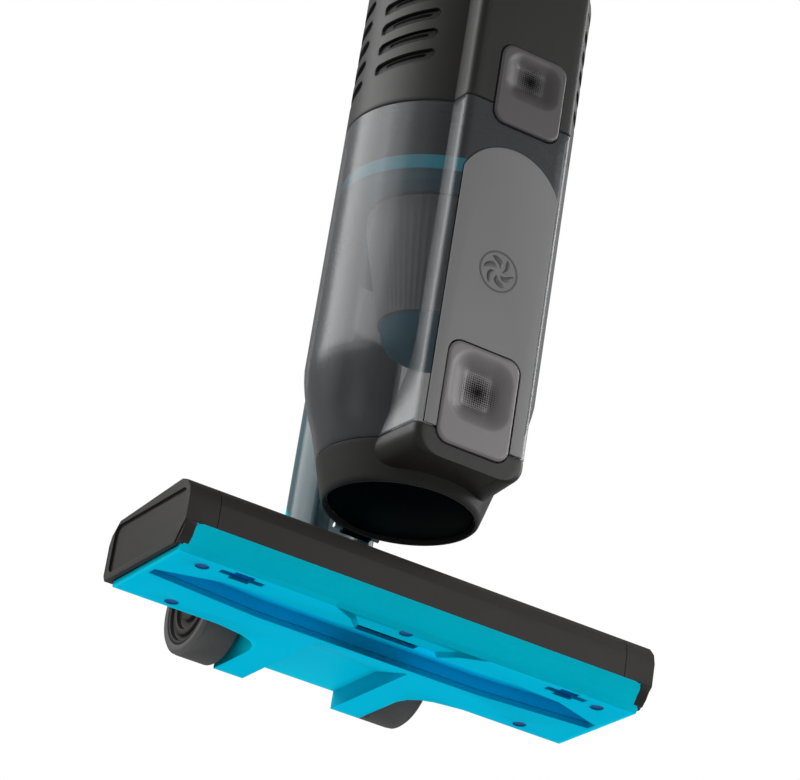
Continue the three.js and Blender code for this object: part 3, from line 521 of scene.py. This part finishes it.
bowl = {"low": 89.1, "high": 261.0, "wall": 2.0, "rim": 0.35, "rimReach": 55.0,
        "cone": (91.0, 134.0), "straight": (140.0, 258.0)}
steps = np.array([0, 0.25, 1.0])
coneLevels = np.linspace(*bowl["cone"], 30)
outerLevels = np.concatenate([bowl["low"] + steps * bowl["rim"], coneLevels,
                              np.linspace(*bowl["straight"], 24), bowl["high"] - steps[::-1] * bowl["rim"]])
rimLevels = [bowl["low"], bowl["low"] + bowl["rim"], bowl["high"] - bowl["rim"], bowl["high"]]
outerInset = np.interp(outerLevels, rimLevels, [bowl["rim"], 0, 0, bowl["rim"]])
bowlOuter = sectionRows(outerLevels)
bowlOuter[:, :, :2] *= (1 - outerInset / bowl["rimReach"])[:, None, None]
innerLevels = np.concatenate([[bowl["low"]], coneLevels, np.linspace(bowl["straight"][0], bowl["high"], 12)])
bowlInner = sectionRows(innerLevels, inset=bowl["wall"])
portLine = roundRect(-14, 14, 178, 206, 3)  # the opening from the duct into the bowl
port = plate(portLine, "y", 45, 62, edge=0.01)
piece("bowlShell", [shell(bowlOuter, bowlInner)], "dust_bin", finishes["bowl_smoke"],
      ["dust_bowl"], cutters=[pocket(doorButton, -55.5), pocket(bowlButton, -54.6), port])

collar = {"low": 69.3, "high": 88.8, "foot": {"bottom": 75.5, "radius": 10.0}}
footLevels = collar["foot"]["bottom"] + collar["foot"]["radius"] * (1 - np.cos(np.linspace(0, 1.5, 14)))
levels = np.concatenate([[collar["low"], 69.5, 70.2, 72, 74, 75.3, 75.45], footLevels,
                         [86.2, 87.5, 88.5, collar["high"]]])
rows = sectionRows(levels, foot=collar["foot"])
rims = np.interp(levels, [collar["low"], 70.2, 88.4, collar["high"]], [0.985, 1, 1, 0.993])
rows[:, :, :2] *= rims[:, None, None]
angle = np.arctan2(rows[0, :, 0], -rows[0, :, 1])
innerZ = np.array([collar["high"], 82.0, 75.6, 75.4, 69.5, collar["low"]])
innerR = np.array([41.3, 39.6, 36.6, 35.7, 35.7, 36.1])[:, None]
inner = np.stack([innerR * np.sin(angle), -innerR * np.cos(angle), innerZ[:, None] + 0 * angle], axis=2)
piece("bowlCollar", [looped(np.concatenate([rows, inner]))], "dust_bin",
      finishes["housing_charcoal"], ["bowl_collar"], degrees=30, cutters=[pocket(doorButton, -50.0)])
print("bowl and collar made")

# Motor housing with scooped vents.
housing = {"low": 261.4, "high": 345.0, "wall": 2.3, "counts": (10, 7, 8, 190)}
vents = {"pitch": 11.4, "base": 283.4, "half": 2.9, "slitHalf": 0.95, "depth": 1.8, "slitDepth": 1.95,
         "slope": 3.6 / 34, "rest": 82}


def capsule(along, z, start, end, middle, half):  # distance outside a round-ended slot, along the skin and up
    return np.hypot(along - np.clip(along, start, end), z - middle) - half


def ventField(x, y, z):  # how deep the skin is scooped at each point, and how much painted shade is there: black slits and a shadow line under each scoop's upper rim
    angle = np.degrees(np.arctan2(np.abs(x), -y))
    arc = bodyRadius * np.radians(angle)
    depth, dark = np.zeros_like(x), np.zeros_like(x)
    for first, last, offset in ((48, 82, 0.0), (96, 128, -5.7)):
        for k in range(5):
            middle = vents["base"] + offset + k * vents["pitch"] + vents["slope"] * (last - angle)
            ends = np.radians([first, last]) * bodyRadius
            scoop = capsule(arc, z, ends[0] + 2, ends[1] - 2, middle, vents["half"])
            tilt = 0.35 + 0.65 * np.clip((z - middle) / vents["half"] * 0.5 + 0.5, 0, 1)
            depth = np.maximum(depth, np.clip(-scoop / 0.5, 0, 1) * vents["depth"] * tilt)
            # painted shade: the slit is a dip painted black, not an opening
            slit = capsule(arc, z, ends[0] + 5, ends[1] - 7, middle + 0.3, vents["slitHalf"])
            dark = np.maximum(dark, np.clip(-slit / 0.25 + 0.5, 0, 1))
            # painted shadow along the scoop's upper rim
            lip = np.abs(scoop + 0.35) < 0.45
            dark = np.maximum(dark, np.where(lip & (z > middle), 0.75, 0))
    return np.maximum(depth, vents["slitDepth"] * (dark > 0.9)), dark


levels = np.concatenate([[housing["low"], 261.5, 262], np.linspace(264, 272, 9), np.arange(272.5, 338, 0.45),
                         [340, 344, 344.8, housing["high"]]])
rows = sectionRows(levels, counts=housing["counts"], cheeks=False)
bearing = np.degrees(np.arctan2(np.abs(rows[..., 0]), -rows[..., 1]))
window = np.interp(levels, [262, 273, 338, 344], [0, 1, 1, 0])[:, None]  # rows lean with the slots
rows[..., 2] += window * vents["slope"] * (vents["rest"] - np.clip(bearing, 30, 130))
depth, dark = ventField(rows[..., 0], rows[..., 1], rows[..., 2])
rows[:, :, :2] *= (1 - depth / np.hypot(rows[..., 0], rows[..., 1]))[..., None]
rims = np.interp(levels, [housing["low"], 262, 344, housing["high"]], [0.993, 1, 1, 0.995])
rows[:, :, :2] *= rims[:, None, None]
inner = sectionRows([housing["low"], 300, housing["high"]], inset=housing["wall"], counts=housing["counts"],
                    cheeks=False)
housingShell = piece("motorHousing", [shell(rows, inner)], "hand_vac",
                     finishes["housing_charcoal"], ["motor_housing"], cutters=[pocket(bowlButton, -50.0)])
skin = np.empty(len(housingShell.data.vertices) * 3, np.float32)
housingShell.data.vertices.foreach_get("co", skin)
skin = skin.reshape(-1, 3) / mm - np.array([0, axisY / mm, 0])
# the painted vent shade is stored on the housing's points
layer = housingShell.data.attributes.new("ventShade", "FLOAT", "POINT")
layer.data.foreach_set("value", ventField(skin[:, 0], skin[:, 1], skin[:, 2])[1].astype(np.float32))

# Fairing that closes the top of the duct: a half-round tube, sloped off towards the housing.
duct = {"y": 70.0, "outer": 22.2, "inner": 20.0, "top": 260.7, "cut": 10.6,
        "outerClear": 56.8, "innerClear": 58.9}
slopedTop = {"high": 322.0, "fall": 0.8, "from": 40.0, "rim": 2.4}
turn = np.linspace(math.radians(-48), math.radians(228), 60)
ring = np.stack([duct["outer"] * np.cos(turn), duct["y"] + duct["outer"] * np.sin(turn)], axis=1)
ring = np.concatenate([ring, [[-12, 50], [0, 49], [12, 50]]])
crown = slopedTop["high"] - slopedTop["fall"] * (ring[:, 1] - slopedTop["from"])
fairing = []
for low, high, inset in ((0, 0, 0.5), (0.6, 0, 0), (0, 1, 0), (0, 1.6, 0.8), (0, 2.2, 2.4)):
    flat = moved(ring, inset)
    height = np.where(high > 0, crown - slopedTop["rim"] + high, housing["low"] + low)
    fairing.append(np.column_stack([flat, height + 0 * flat[:, 0]]))
piece("ductFairing", [capped(fairing)], "hand_vac",
      finishes["housing_charcoal"])
print("motor housing made")


# See-through duct.
def ductOutline(outer, clear, rays=120):  # round the back, and hollowed along the bowl in front
    turn = np.linspace(0, 2 * math.pi, rays, endpoint=False)
    dx, dy = np.cos(turn), np.sin(turn)
    startY = 78.0
    lean = dy * (startY - duct["y"])
    toRound = -lean + np.sqrt(lean ** 2 - (startY - duct["y"]) ** 2 + outer ** 2)
    lean = dy * startY
    inside = lean ** 2 - startY ** 2 + clear ** 2
    toBowl = np.where((inside > 0) & (lean < 0), -lean - np.sqrt(np.maximum(inside, 0)), 1e6)
    reach = np.minimum(toRound, toBowl)
    return np.stack([dx * reach, startY + dy * reach], axis=1)


outerFlat = ductOutline(duct["outer"], duct["outerClear"])
innerFlat = ductOutline(duct["inner"], duct["innerClear"])
ductRows = []
for flat, part in ((outerFlat, 0), (outerFlat, 1), (innerFlat, 1), (innerFlat, 0)):
    height = flat[:, 1] + duct["cut"] if part == 0 else np.full(len(flat), duct["top"])
    ductRows.append(np.column_stack([flat, height]))
ductRows = [ductRows[0]] + [ductRows[0] * (1 - t) + ductRows[1] * t for t in (0.01, 0.99)] + ductRows[1:]
piece("suctionDuct", [looped(ductRows)], "hand_vac",
      finishes["duct_teal"], ["inlet_duct"], cutters=[plate(portLine, "y", 50, 62, edge=0.01)])

# Neck: a drum on the pivot that flares into a round pipe with a slanted mouth.
neck = {"y": 70.0, "z": 29.5, "drum": 17.6, "bore": 2.7, "half": 23.6, "cut": 10.0}
turn = np.linspace(0, 2 * math.pi, 96, endpoint=False)
pipe = []
for r, z in ((13.6, 34), (16.2, 33), (16.5, 38), (17.0, 40.5), (18.4, 43), (20.4, 46), (21.6, 48.6),
             (22.2, 51), (22.2, -0.4), (21.8, 0), (16.3, 0), (15.9, -0.4), (15.9, 60.0), (13.6, 60.0)):
    x, y = r * np.cos(turn), neck["y"] + r * np.sin(turn)
    pipe.append(np.column_stack([x, y, np.full(96, z) if z > 1 else y + neck["cut"] + z]))
drumProfile = [(neck["bore"], -neck["half"]), (neck["drum"], -neck["half"]), (neck["drum"], neck["half"]),
               (neck["bore"], neck["half"])]
drum = turned(filleted(drumProfile, 1.2), 72, (0, neck["y"], neck["z"]), "x")
piece("neckPipe", [looped(pipe), drum], "neck",
      finishes["sole_cyan"], ["neck_elbow"])
spigot = [(13.6, 60.4), (15.6, 60.4), (15.6, 100.2), (14.9, 101), (13.6, 101)]
piece("neckSpigot", [turned(spigot, 72, (0, neck["y"], 0))], "neck", finishes["pale_plastic"],
      ["neck_spigot"])
print("duct and neck made")


# Buttons.
def buttonGrid(button, back):
    # Rings of a rounded rectangle shrink to its middle.
    # Each point drops by how deep it lies inside the scoop.
    x, half = button["x"], button["half"]
    outline = evenly(roundRect(x - half, x + half, button["low"], button["high"], button["corner"], 12), 220)
    middle = np.array([x, (button["low"] + button["high"]) / 2])
    scale = np.concatenate([[0.02], np.linspace(0.06, 1.0, 46)])[:, None, None]
    flat = middle + (outline[None] - middle) * scale
    x0, x1, z0, z1 = button["scoop"]
    corner = button["scoopCorner"]
    px, pz = flat[..., 0] - x - (x0 + x1) / 2, flat[..., 1] - (z0 + z1) / 2
    qx, qz = np.abs(px) - ((x1 - x0) / 2 - corner), np.abs(pz) - ((z1 - z0) / 2 - corner)
    outside = np.hypot(np.maximum(qx, 0), np.maximum(qz, 0)) + np.minimum(np.maximum(qx, qz), 0) - corner
    dip = np.clip(-outside / button["ramp"], 0, 1)
    dip = button["depth"] * dip * dip * (3 - 2 * dip) * (0.8 - 0.2 * pz / (z1 - z0))
    rim = np.clip((scale[..., 0] - 0.955) / 0.045, 0, 1) ** 2 * 0.5
    rows = np.stack([flat[..., 0], buttonFront + dip + rim, flat[..., 1]], axis=2)
    behind = [facing(outline, back, "y"), facing(middle + (outline - middle) * 0.02, back, "y")]
    return capped(np.concatenate([rows, behind]))


# The bowl button is a darker copy of the button grey: painted shade.
dotted = {"door": finish("doorButtonGrey", buttonGrey, 0.4, wear=0.1, extra=thumbDotsAndShade((0, 114), 13.0, 8.0)),
          "bowl": finish("bowlButtonShadedGrey", (0.06, 0.0555, 0.0575), 0.4, wear=0.1,
                         extra=thumbDotsAndShade((3, 280.5), 9.5, 8.0))}
piece("doorButton", [buttonGrid(doorButton, -56.2)], "door_release", dotted["door"],
      ["door_button"], 50)
piece("bowlButton", [buttonGrid(bowlButton, -57.2)], "bowl_release", dotted["bowl"],
      ["bowl_button"], 50)
# Flat black: painted shade behind the button gaps and round the panel, and the colour of dark parts.
gapBlack = finish("gapBlack", (0.006, 0.006, 0.006), 0.7, depth=0.05, specular=0.1)
well = {"front": -59.05, "back": -56.4, "outer": 0.86, "inner": 0.4}  # painted shade: a dark lining of the gap round a button
for name, button, body, slot in (("doorButtonWell", doorButton, "dust_bin", "panel_grey"),
                                 ("bowlButtonWell", bowlButton, "hand_vac", "housing_charcoal")):
    x, half = button["x"], button["half"]
    wide, narrow = [roundRect(x - half - g, x + half + g, button["low"] - g, button["high"] + g,
                              button["corner"] + g) for g in (well["outer"], well["inner"])]
    rows = [facing(wide, well["front"], "y"), facing(wide, well["back"], "y"),
            facing(narrow, well["back"], "y"), facing(narrow, well["front"], "y")]
    piece(name, [looped(rows)], body, gapBlack)

# Front panel with a rounded top, and a plain fan mark.
panel = {"half": 26.3, "low": 89.3, "shoulder": 223.0, "rise": 17.5, "front": -59.9, "back": -59.1}
arc = np.linspace(-1, 1, 40)
bulge = (panel["half"] ** 2 + panel["rise"] ** 2) / (2 * panel["rise"])
archX = panel["half"] * arc[::-1]
archZ = panel["shoulder"] + np.sqrt(bulge ** 2 - archX ** 2) - (bulge - panel["rise"])
base = [[-panel["half"], panel["low"]], [panel["half"], panel["low"]]]
edge = np.concatenate([base, np.column_stack([archX, archZ])])
panelCut = pocket(doorButton, -52.0)
piece("spinePanel", [plate(edge, "y", panel["front"], panel["back"], 0.3)], "dust_bin",
      finishes["panel_grey"], ["spine_panel"], cutters=[panelCut])
# Painted shadow: a thin black frame just wider than the panel makes its edge look recessed.
piece("panelEdgeShade", [plate(moved(edge, -0.45), "y", -59.25, -59.03, 0.05)], "dust_bin", gapBlack,
      cutters=[panelCut])
mark = {"z": 176.0, "ring": 9.6, "line": 0.45, "blades": 6, "swirl": 1.0, "from": 2.2, "to": 8.2}
inkFront, inkBack = panel["front"] - 0.12, panel["front"] + 0.1
ringOuter = mark["ring"] + 2 * mark["line"]
lineInk = finish("markInk", (0.035, 0.035, 0.036), 0.4)
hoop = turned([(mark["ring"], inkFront), (ringOuter, inkFront), (ringOuter, inkBack),
               (mark["ring"], inkBack)], 72, (0, 0, mark["z"]), "y")
blades = []
for k in range(mark["blades"]):
    along = np.linspace(mark["from"], mark["to"], 14)
    base = 2 * math.pi * k / mark["blades"] + mark["swirl"] * (along / mark["to"]) ** 1.4
    width = 0.34 * np.sin(np.linspace(0.25, math.pi - 0.25, 14))
    sideA = np.column_stack([along * np.cos(base + width), mark["z"] + along * np.sin(base + width)])
    sideB = np.column_stack([along * np.cos(base - width), mark["z"] + along * np.sin(base - width)])
    blades.append(plate(np.concatenate([sideA, sideB[::-1]]), "y", inkFront, inkBack, 0.03))
piece("panelMark", [hoop] + blades, "dust_bin", lineInk)
print("buttons and panel made")

# Filter inside the bowl.
neckProfile = filleted([(46, 260.5), (46, 232.6), (44, 232.6), (44, 260.5)], 0.5, 3)
piece("filterNeck", [turned(neckProfile, 96)], "hand_vac", gapBlack)
ringProfile = filleted([(52.6, 232.2), (52.9, 226), (51, 224.6), (50, 220.6), (40, 219.6),
                        (40, 232.2)], 0.8, 3)
piece("filterRing", [turned(ringProfile, 96)], "hand_vac", finishes["filter_teal"],
      ["filter_frame"])
band = filleted([(52.7, 232.6), (53.1, 232.6), (53.1, 225.4), (52.7, 225.4)], 0.15, 3)
piece("filterBand", [turned(band, 96)], "hand_vac", finishes["filter_cyan"])
cone = [(0, 148.5), (8, 148.8), (14.5, 150.2), (19.5, 153.4), (22.4, 158), (23.4, 164.2),
        (21.4, 164.2), (19, 157.4), (14, 153.4), (0, 151.6)]
piece("filterCone", [turned(cone, 72)], "hand_vac", finishes["filter_teal"], ["filter_cone"])
turn = np.linspace(0, 2 * math.pi, 360, endpoint=False)
pleat = 0.3 * np.cos(turn * 60)
body = []
for r, z, ripple in ((36, 219.4, 0), (38, 219.4, 0), (37.4, 214, 1), (25.4, 168, 1), (25, 164.5, 0),
                     (23, 164.5, 0)):
    reach = r + pleat * ripple
    body.append(np.column_stack([reach * np.cos(turn), reach * np.sin(turn), np.full(360, z)]))
piece("filterBody", [looped(body)], "hand_vac",
      finishes["filter_grey"], ["filter_mesh"], degrees=60)

# Wheels: a grooved hub in a soft tread.
wheel = {"y": 81.0, "z": 26.0, "middle": 51.75, "half": 9.75}
for label, side in (("left", -1), ("right", 1)):
    w = wheel["half"]
    hub = [(3.1, -w + 1), (21.1, -w + 1), (21.1, w - 0.6), (19.2, w - 0.5), (18.6, w - 2.4), (16.6, w - 2.4),
           (16, w - 0.9), (13.4, w - 0.9), (12.8, w - 3), (9.2, w - 3), (8.6, w - 1.1), (3.1, w - 1.1)]
    tread = [(21.2, -w + 0.4), (24.6, -w), (26, -w + 1.2), (26, w - 3.2), (25.5, w - 2.6), (25.5, w - 2.2),
             (25.9, w - 1.7), (24.2, w), (21.2, w - 0.3)]
    centre = (side * wheel["middle"], wheel["y"], wheel["z"])
    for kind, profile, slot in (("hub", hub, "head_black"), ("tyre", tread, "wheel_tread")):
        rounded = filleted(profile, 0.5, 3) * np.array([1, side])
        piece(f"wheel_{kind}_{label}_fine", [turned(rounded, 96, centre, "x")], "wheel_" + label,
              finishes[slot], [f"wheel_{kind}_{label}"])
print("filter and wheels made")

# Carrying handle and crown: a rounded bar swept round a loop, and a shallow dome.
handle = {"front": -59.0, "rear": 54.0, "low": 352.0, "top": 442.0, "outer": 30.0, "half": 15.0, "round": 7.0,
          "gap": (-35.0, 34.0, 376.0, 415.0, 16.0), "seam": 0.15, "coreInset": 0.5, "coreHalf": 0.14}
outline = roundRect(handle["front"], handle["rear"], handle["low"], handle["top"], handle["outer"], 12)
gapLine = roundRect(*handle["gap"], 12)
dome = [(bodyRadius, 345.3), (bodyRadius, 350), (54.9, 352.6), (53.2, 356), (51, 359.2), (48, 362),
        (43.6, 364.6), (38, 366.5), (30, 368.2), (22, 369.4), (11, 370.2), (0, 370.5)]
underDome = [(0, 367.6), (22, 366.8), (37, 364.2), (46.4, 360), (51, 355), (53.1, 350), (53.1, 345.3)]
for label, side in (("left", -1), ("right", 1)):
    turn = np.linspace(0, math.pi, 49) if side > 0 else np.linspace(math.pi, 2 * math.pi, 49)
    seam = handle["seam"] * side
    rows = []
    for r, z in dome + underDome:
        rows.append(np.column_stack([r * np.sin(turn) + seam * (r > 0), -r * np.cos(turn), np.full(49, z)]))
    domeHalf = looped(rows)
    turn = np.linspace(0, math.pi / 2, 7)
    inset = handle["round"] * (1 - np.cos(turn))
    across = handle["half"] - handle["round"] * (1 - np.sin(turn))
    sweep = [facing(outline, seam, "x")]
    sweep += [facing(moved(outline, i), side * a, "x") for i, a in zip(inset, across[::-1])]
    sweep += [facing(moved(gapLine, -i), side * a, "x") for i, a in zip(inset[::-1], across)]
    sweep += [facing(gapLine, seam, "x")]
    loop = looped(sweep)
    piece(f"handleCrown_{label}", [domeHalf], "hand_vac", finishes["housing_charcoal"])
    piece(f"handleLoop_{label}", [loop], "hand_vac", finishes["housing_charcoal"],
          [f"handle_shell_{label}"], degrees=40)

# A dark core closes the thin gap between the handle's halves.
coreOuter, coreInner = moved(outline, handle["coreInset"]), moved(gapLine, -handle["coreInset"])
thick = handle["coreHalf"]
core = [facing(coreOuter, -thick, "x"), facing(coreOuter, thick, "x"), facing(coreInner, thick, "x"),
        facing(coreInner, -thick, "x")]
piece("handleSeam", [looped(core)], "hand_vac", gapBlack)

# The spine runs on above the housing and slopes up to the handle, tucked in where the dome covers it.
spineEnd = {"run": 40.0, "lift": 8.0, "shrink": 0.965, "domeReach": 55.4, "tuck": 0.9}
shoulderRows = sectionRows([345.3, 345.9, 362, 366], counts=(10, 7, 8, 40), cheeks=False)
x, y = shoulderRows[..., 0], shoulderRows[..., 1]
slope = np.clip((y - spine["front"]) / spineEnd["run"], 0, 1)
shoulderRows[2:, :, 2] += (slope * spineEnd["lift"])[2:]
shoulderRows[3, :, :2] *= spineEnd["shrink"]
shoulderRows[:, :, :2] *= np.where(np.hypot(x, y) < spineEnd["domeReach"], spineEnd["tuck"], 1)[..., None]
piece("spineTop", [capped(shoulderRows)], "hand_vac",
      finishes["housing_charcoal"])

# Floor head and small parts keep their own shapes, with softened edges.
for node, width in (("head_cover", 0.7), ("head_sole", 0.35), ("bumper_left", 1.3), ("bumper_right", 1.3),
                    ("channel_liner", 0.3), ("power_button", 0.8), ("bin_door", 0.5), ("neck_latch", 0.4)):
    softened(node, width)
print("handle and floor head made")

# Front lip of the sole: a thin curved skin with rounded upper corners.
# With it come the bumpers' toes and the side walls of the rise behind the mouth.
lip = {"half": 120.2, "foot": 122.2, "top": 12.5, "corner": 5.0, "thick": 0.5, "lean": 0.12, "flare": 8.0,
       "y": [-32.5, -33.9, -36.5, -38.8, -39.75], "z": [0.0, 2.4, 5.6, 9.6, 12.4]}
across = np.sin(np.linspace(-1, 1, 121) * math.pi / 2) * lip["half"]
past = np.maximum(np.abs(across) - lip["half"] + lip["corner"], 0)
drop = lip["corner"] - np.sqrt(np.maximum(lip["corner"] ** 2 - past ** 2, 0))
share = np.linspace(0, 1, 25)[:, None]
height = share * (lip["top"] - drop)[None, :]
front = np.interp(height, lip["z"], lip["y"])
widen = 1 + (lip["foot"] / lip["half"] - 1) * np.clip(1 - height / lip["flare"], 0, 1)
skinRows = np.stack([across[None, :] * widen, front, height], axis=2)
innerSkin = skinRows + np.array([0, lip["thick"], lip["lean"]])
band = np.concatenate([skinRows, innerSkin[:, ::-1]], axis=1)
piece("soleLip", [capped(band)], "floor_head", finishes["sole_cyan"])
toe = np.array([[-39.5, 13.2], [-39.3, 10.4], [-37.2, 6.2], [-34.6, 3.2], [-30, 3.1], [-30, 13.2]])
rise = np.array([[17, 0.7], [40, 0.7], [40, 8.6], [17, 2.6]])
for label, side in (("left", -1), ("right", 1)):
    toeFill = plate(toe, "x", *sorted((side * 118.8, side * 124.4)), edge=0.6)
    piece(f"bumperToe_{label}", [toeFill], "floor_head", finishes["head_black"])
    wallSide = plate(rise, "x", *sorted((side * 24.4, side * 25.4)), edge=0.05)
    piece(f"riseWall_{label}", [wallSide], "floor_head", finishes["sole_cyan"])

# Studio: a pale floor seen from one side only, soft lights and the camera.
studio = {"floorHalf": 3.0, "floorZ": -0.0005, "fadeFrom": 0.6, "fadeTo": 1.5, "world": 0.33}
floorMesh = bpy.data.meshes.new("floor")
r, z = studio["floorHalf"], studio["floorZ"]
floorMesh.from_pydata([(-r, -r, z), (r, -r, z), (r, r, z), (-r, r, z)], [], [(0, 1, 2, 3)])
floor = bpy.data.objects.new("floor", floorMesh)
bpy.context.scene.collection.objects.link(floor)
paleFloor = bpy.data.materials.new("paleFloor")
paleFloor.use_nodes = True
tree = paleFloor.node_tree
shader = tree.nodes["Principled BSDF"]
shader.inputs["Base Color"].default_value = (0.82, 0.82, 0.82, 1)
shader.inputs["Roughness"].default_value = 0.7
below = tree.nodes.new("ShaderNodeNewGeometry")
path = tree.nodes.new("ShaderNodeLightPath")
clear = tree.nodes.new("ShaderNodeBsdfTransparent")
choice = tree.nodes.new("ShaderNodeMixShader")
place = tree.nodes.new("ShaderNodeTexCoord")
away = tree.nodes.new("ShaderNodeVectorMath")
away.operation = "LENGTH"
tree.links.new(place.outputs["Object"], away.inputs[0])
fadeSpan = studio["fadeTo"] - studio["fadeFrom"]
fade = mathNode(tree, "MULTIPLY_ADD", away.outputs["Value"], 1 / fadeSpan, -studio["fadeFrom"] / fadeSpan,
                clamp=True)
mask = mathNode(tree, "MAXIMUM", below.outputs["Backfacing"], path.outputs["Is Shadow Ray"])
mask = mathNode(tree, "MAXIMUM", mask, fade)  # the floor melts into the white around it
tree.links.new(mask, choice.inputs[0])
tree.links.new(shader.outputs[0], choice.inputs[1])
tree.links.new(clear.outputs[0], choice.inputs[2])
tree.links.new(choice.outputs[0], tree.nodes["Material Output"].inputs["Surface"])
floorMesh.materials.append(paleFloor)
floor.visible_glossy = False

world = bpy.data.worlds.new("studioWorld")
bpy.context.scene.world = world
world.use_nodes = True
tree = world.node_tree
sky = tree.nodes["Background"]
sky.inputs["Color"].default_value = (1, 1, 1, 1)
seen = tree.nodes.new("ShaderNodeLightPath")
bright = mathNode(tree, "MULTIPLY_ADD", seen.outputs["Is Camera Ray"], 1 - studio["world"], studio["world"])
tree.links.new(bright, sky.inputs["Strength"])
bpy.context.scene.view_settings.view_transform = "Standard"

aim = (0, 0, 0.2)  # the middle of the machine
lights = [
    {"name": "leftSoftbox", "at": (-1.22, 0.85, 0.95), "toward": aim, "size": (1.3, 0.7), "power": 13.5},
    {"name": "leftMiddle", "at": (-1.52, 0.05, 0.8), "toward": aim, "size": (0.7, 0.7), "power": 6},
    {"name": "leftFill", "at": (-1.4, -0.6, 0.8), "toward": aim, "size": (0.6, 0.7), "power": 1},
    {"name": "rightFill", "at": (1.1, -1.3, 0.7), "toward": aim, "size": (0.5, 0.5), "power": 9.5},
    {"name": "rightStrip", "at": (1.5, -0.1, 0.85), "toward": aim, "size": (0.9, 1.0), "power": 14},
    {"name": "underLight", "at": (0.0, 0.35, -1.3), "toward": (0, 0, 0.0), "size": (1.2, 1.2), "power": 13},
]


def placed(right, up, back, at):  # three axes and a place as one matrix
    return Matrix([[right[i], up[i], back[i], at[i]] for i in range(3)] + [[0, 0, 0, 1]])


for light in lights:
    data = bpy.data.lights.new(light["name"], "AREA")
    data.shape = "RECTANGLE"
    data.size, data.size_y = light["size"]
    data.energy = light["power"]
    lamp = bpy.data.objects.new(light["name"], data)
    away = np.array(light["at"]) - np.array(light["toward"])
    away = away / np.linalg.norm(away)
    right = np.cross([0, 0, 1], away)
    right = right / np.linalg.norm(right)
    up = np.cross(away, right)
    lamp.matrix_world = placed(right, up, away, light["at"])
    lamp.visible_glossy = light["name"] != "underLight"  # no bright patch in the gloss from below
    bpy.context.scene.collection.objects.link(lamp)

view = {"at": (-0.73094, -1.39404, -0.59127), "back": (-0.41726748, -0.80709177, -0.41772088),
        "right": (0.84626518, -0.51262074, 0.14510417), "up": (-0.33124477, -0.29295539, 0.89691362),
        "lens": 164.1, "sensor": 36.0}
cameraData = bpy.data.cameras.new("camera")
cameraData.lens = view["lens"]
cameraData.sensor_width = view["sensor"]
cameraData.clip_start, cameraData.clip_end = 0.05, 20
camera = bpy.data.objects.new("camera", cameraData)
at = np.array(view["at"]) + np.array([0, axisY, 0])
camera.matrix_world = placed(view["right"], view["up"], view["back"], at)
bpy.context.scene.collection.objects.link(camera)
bpy.context.scene.camera = camera
print("studio made")
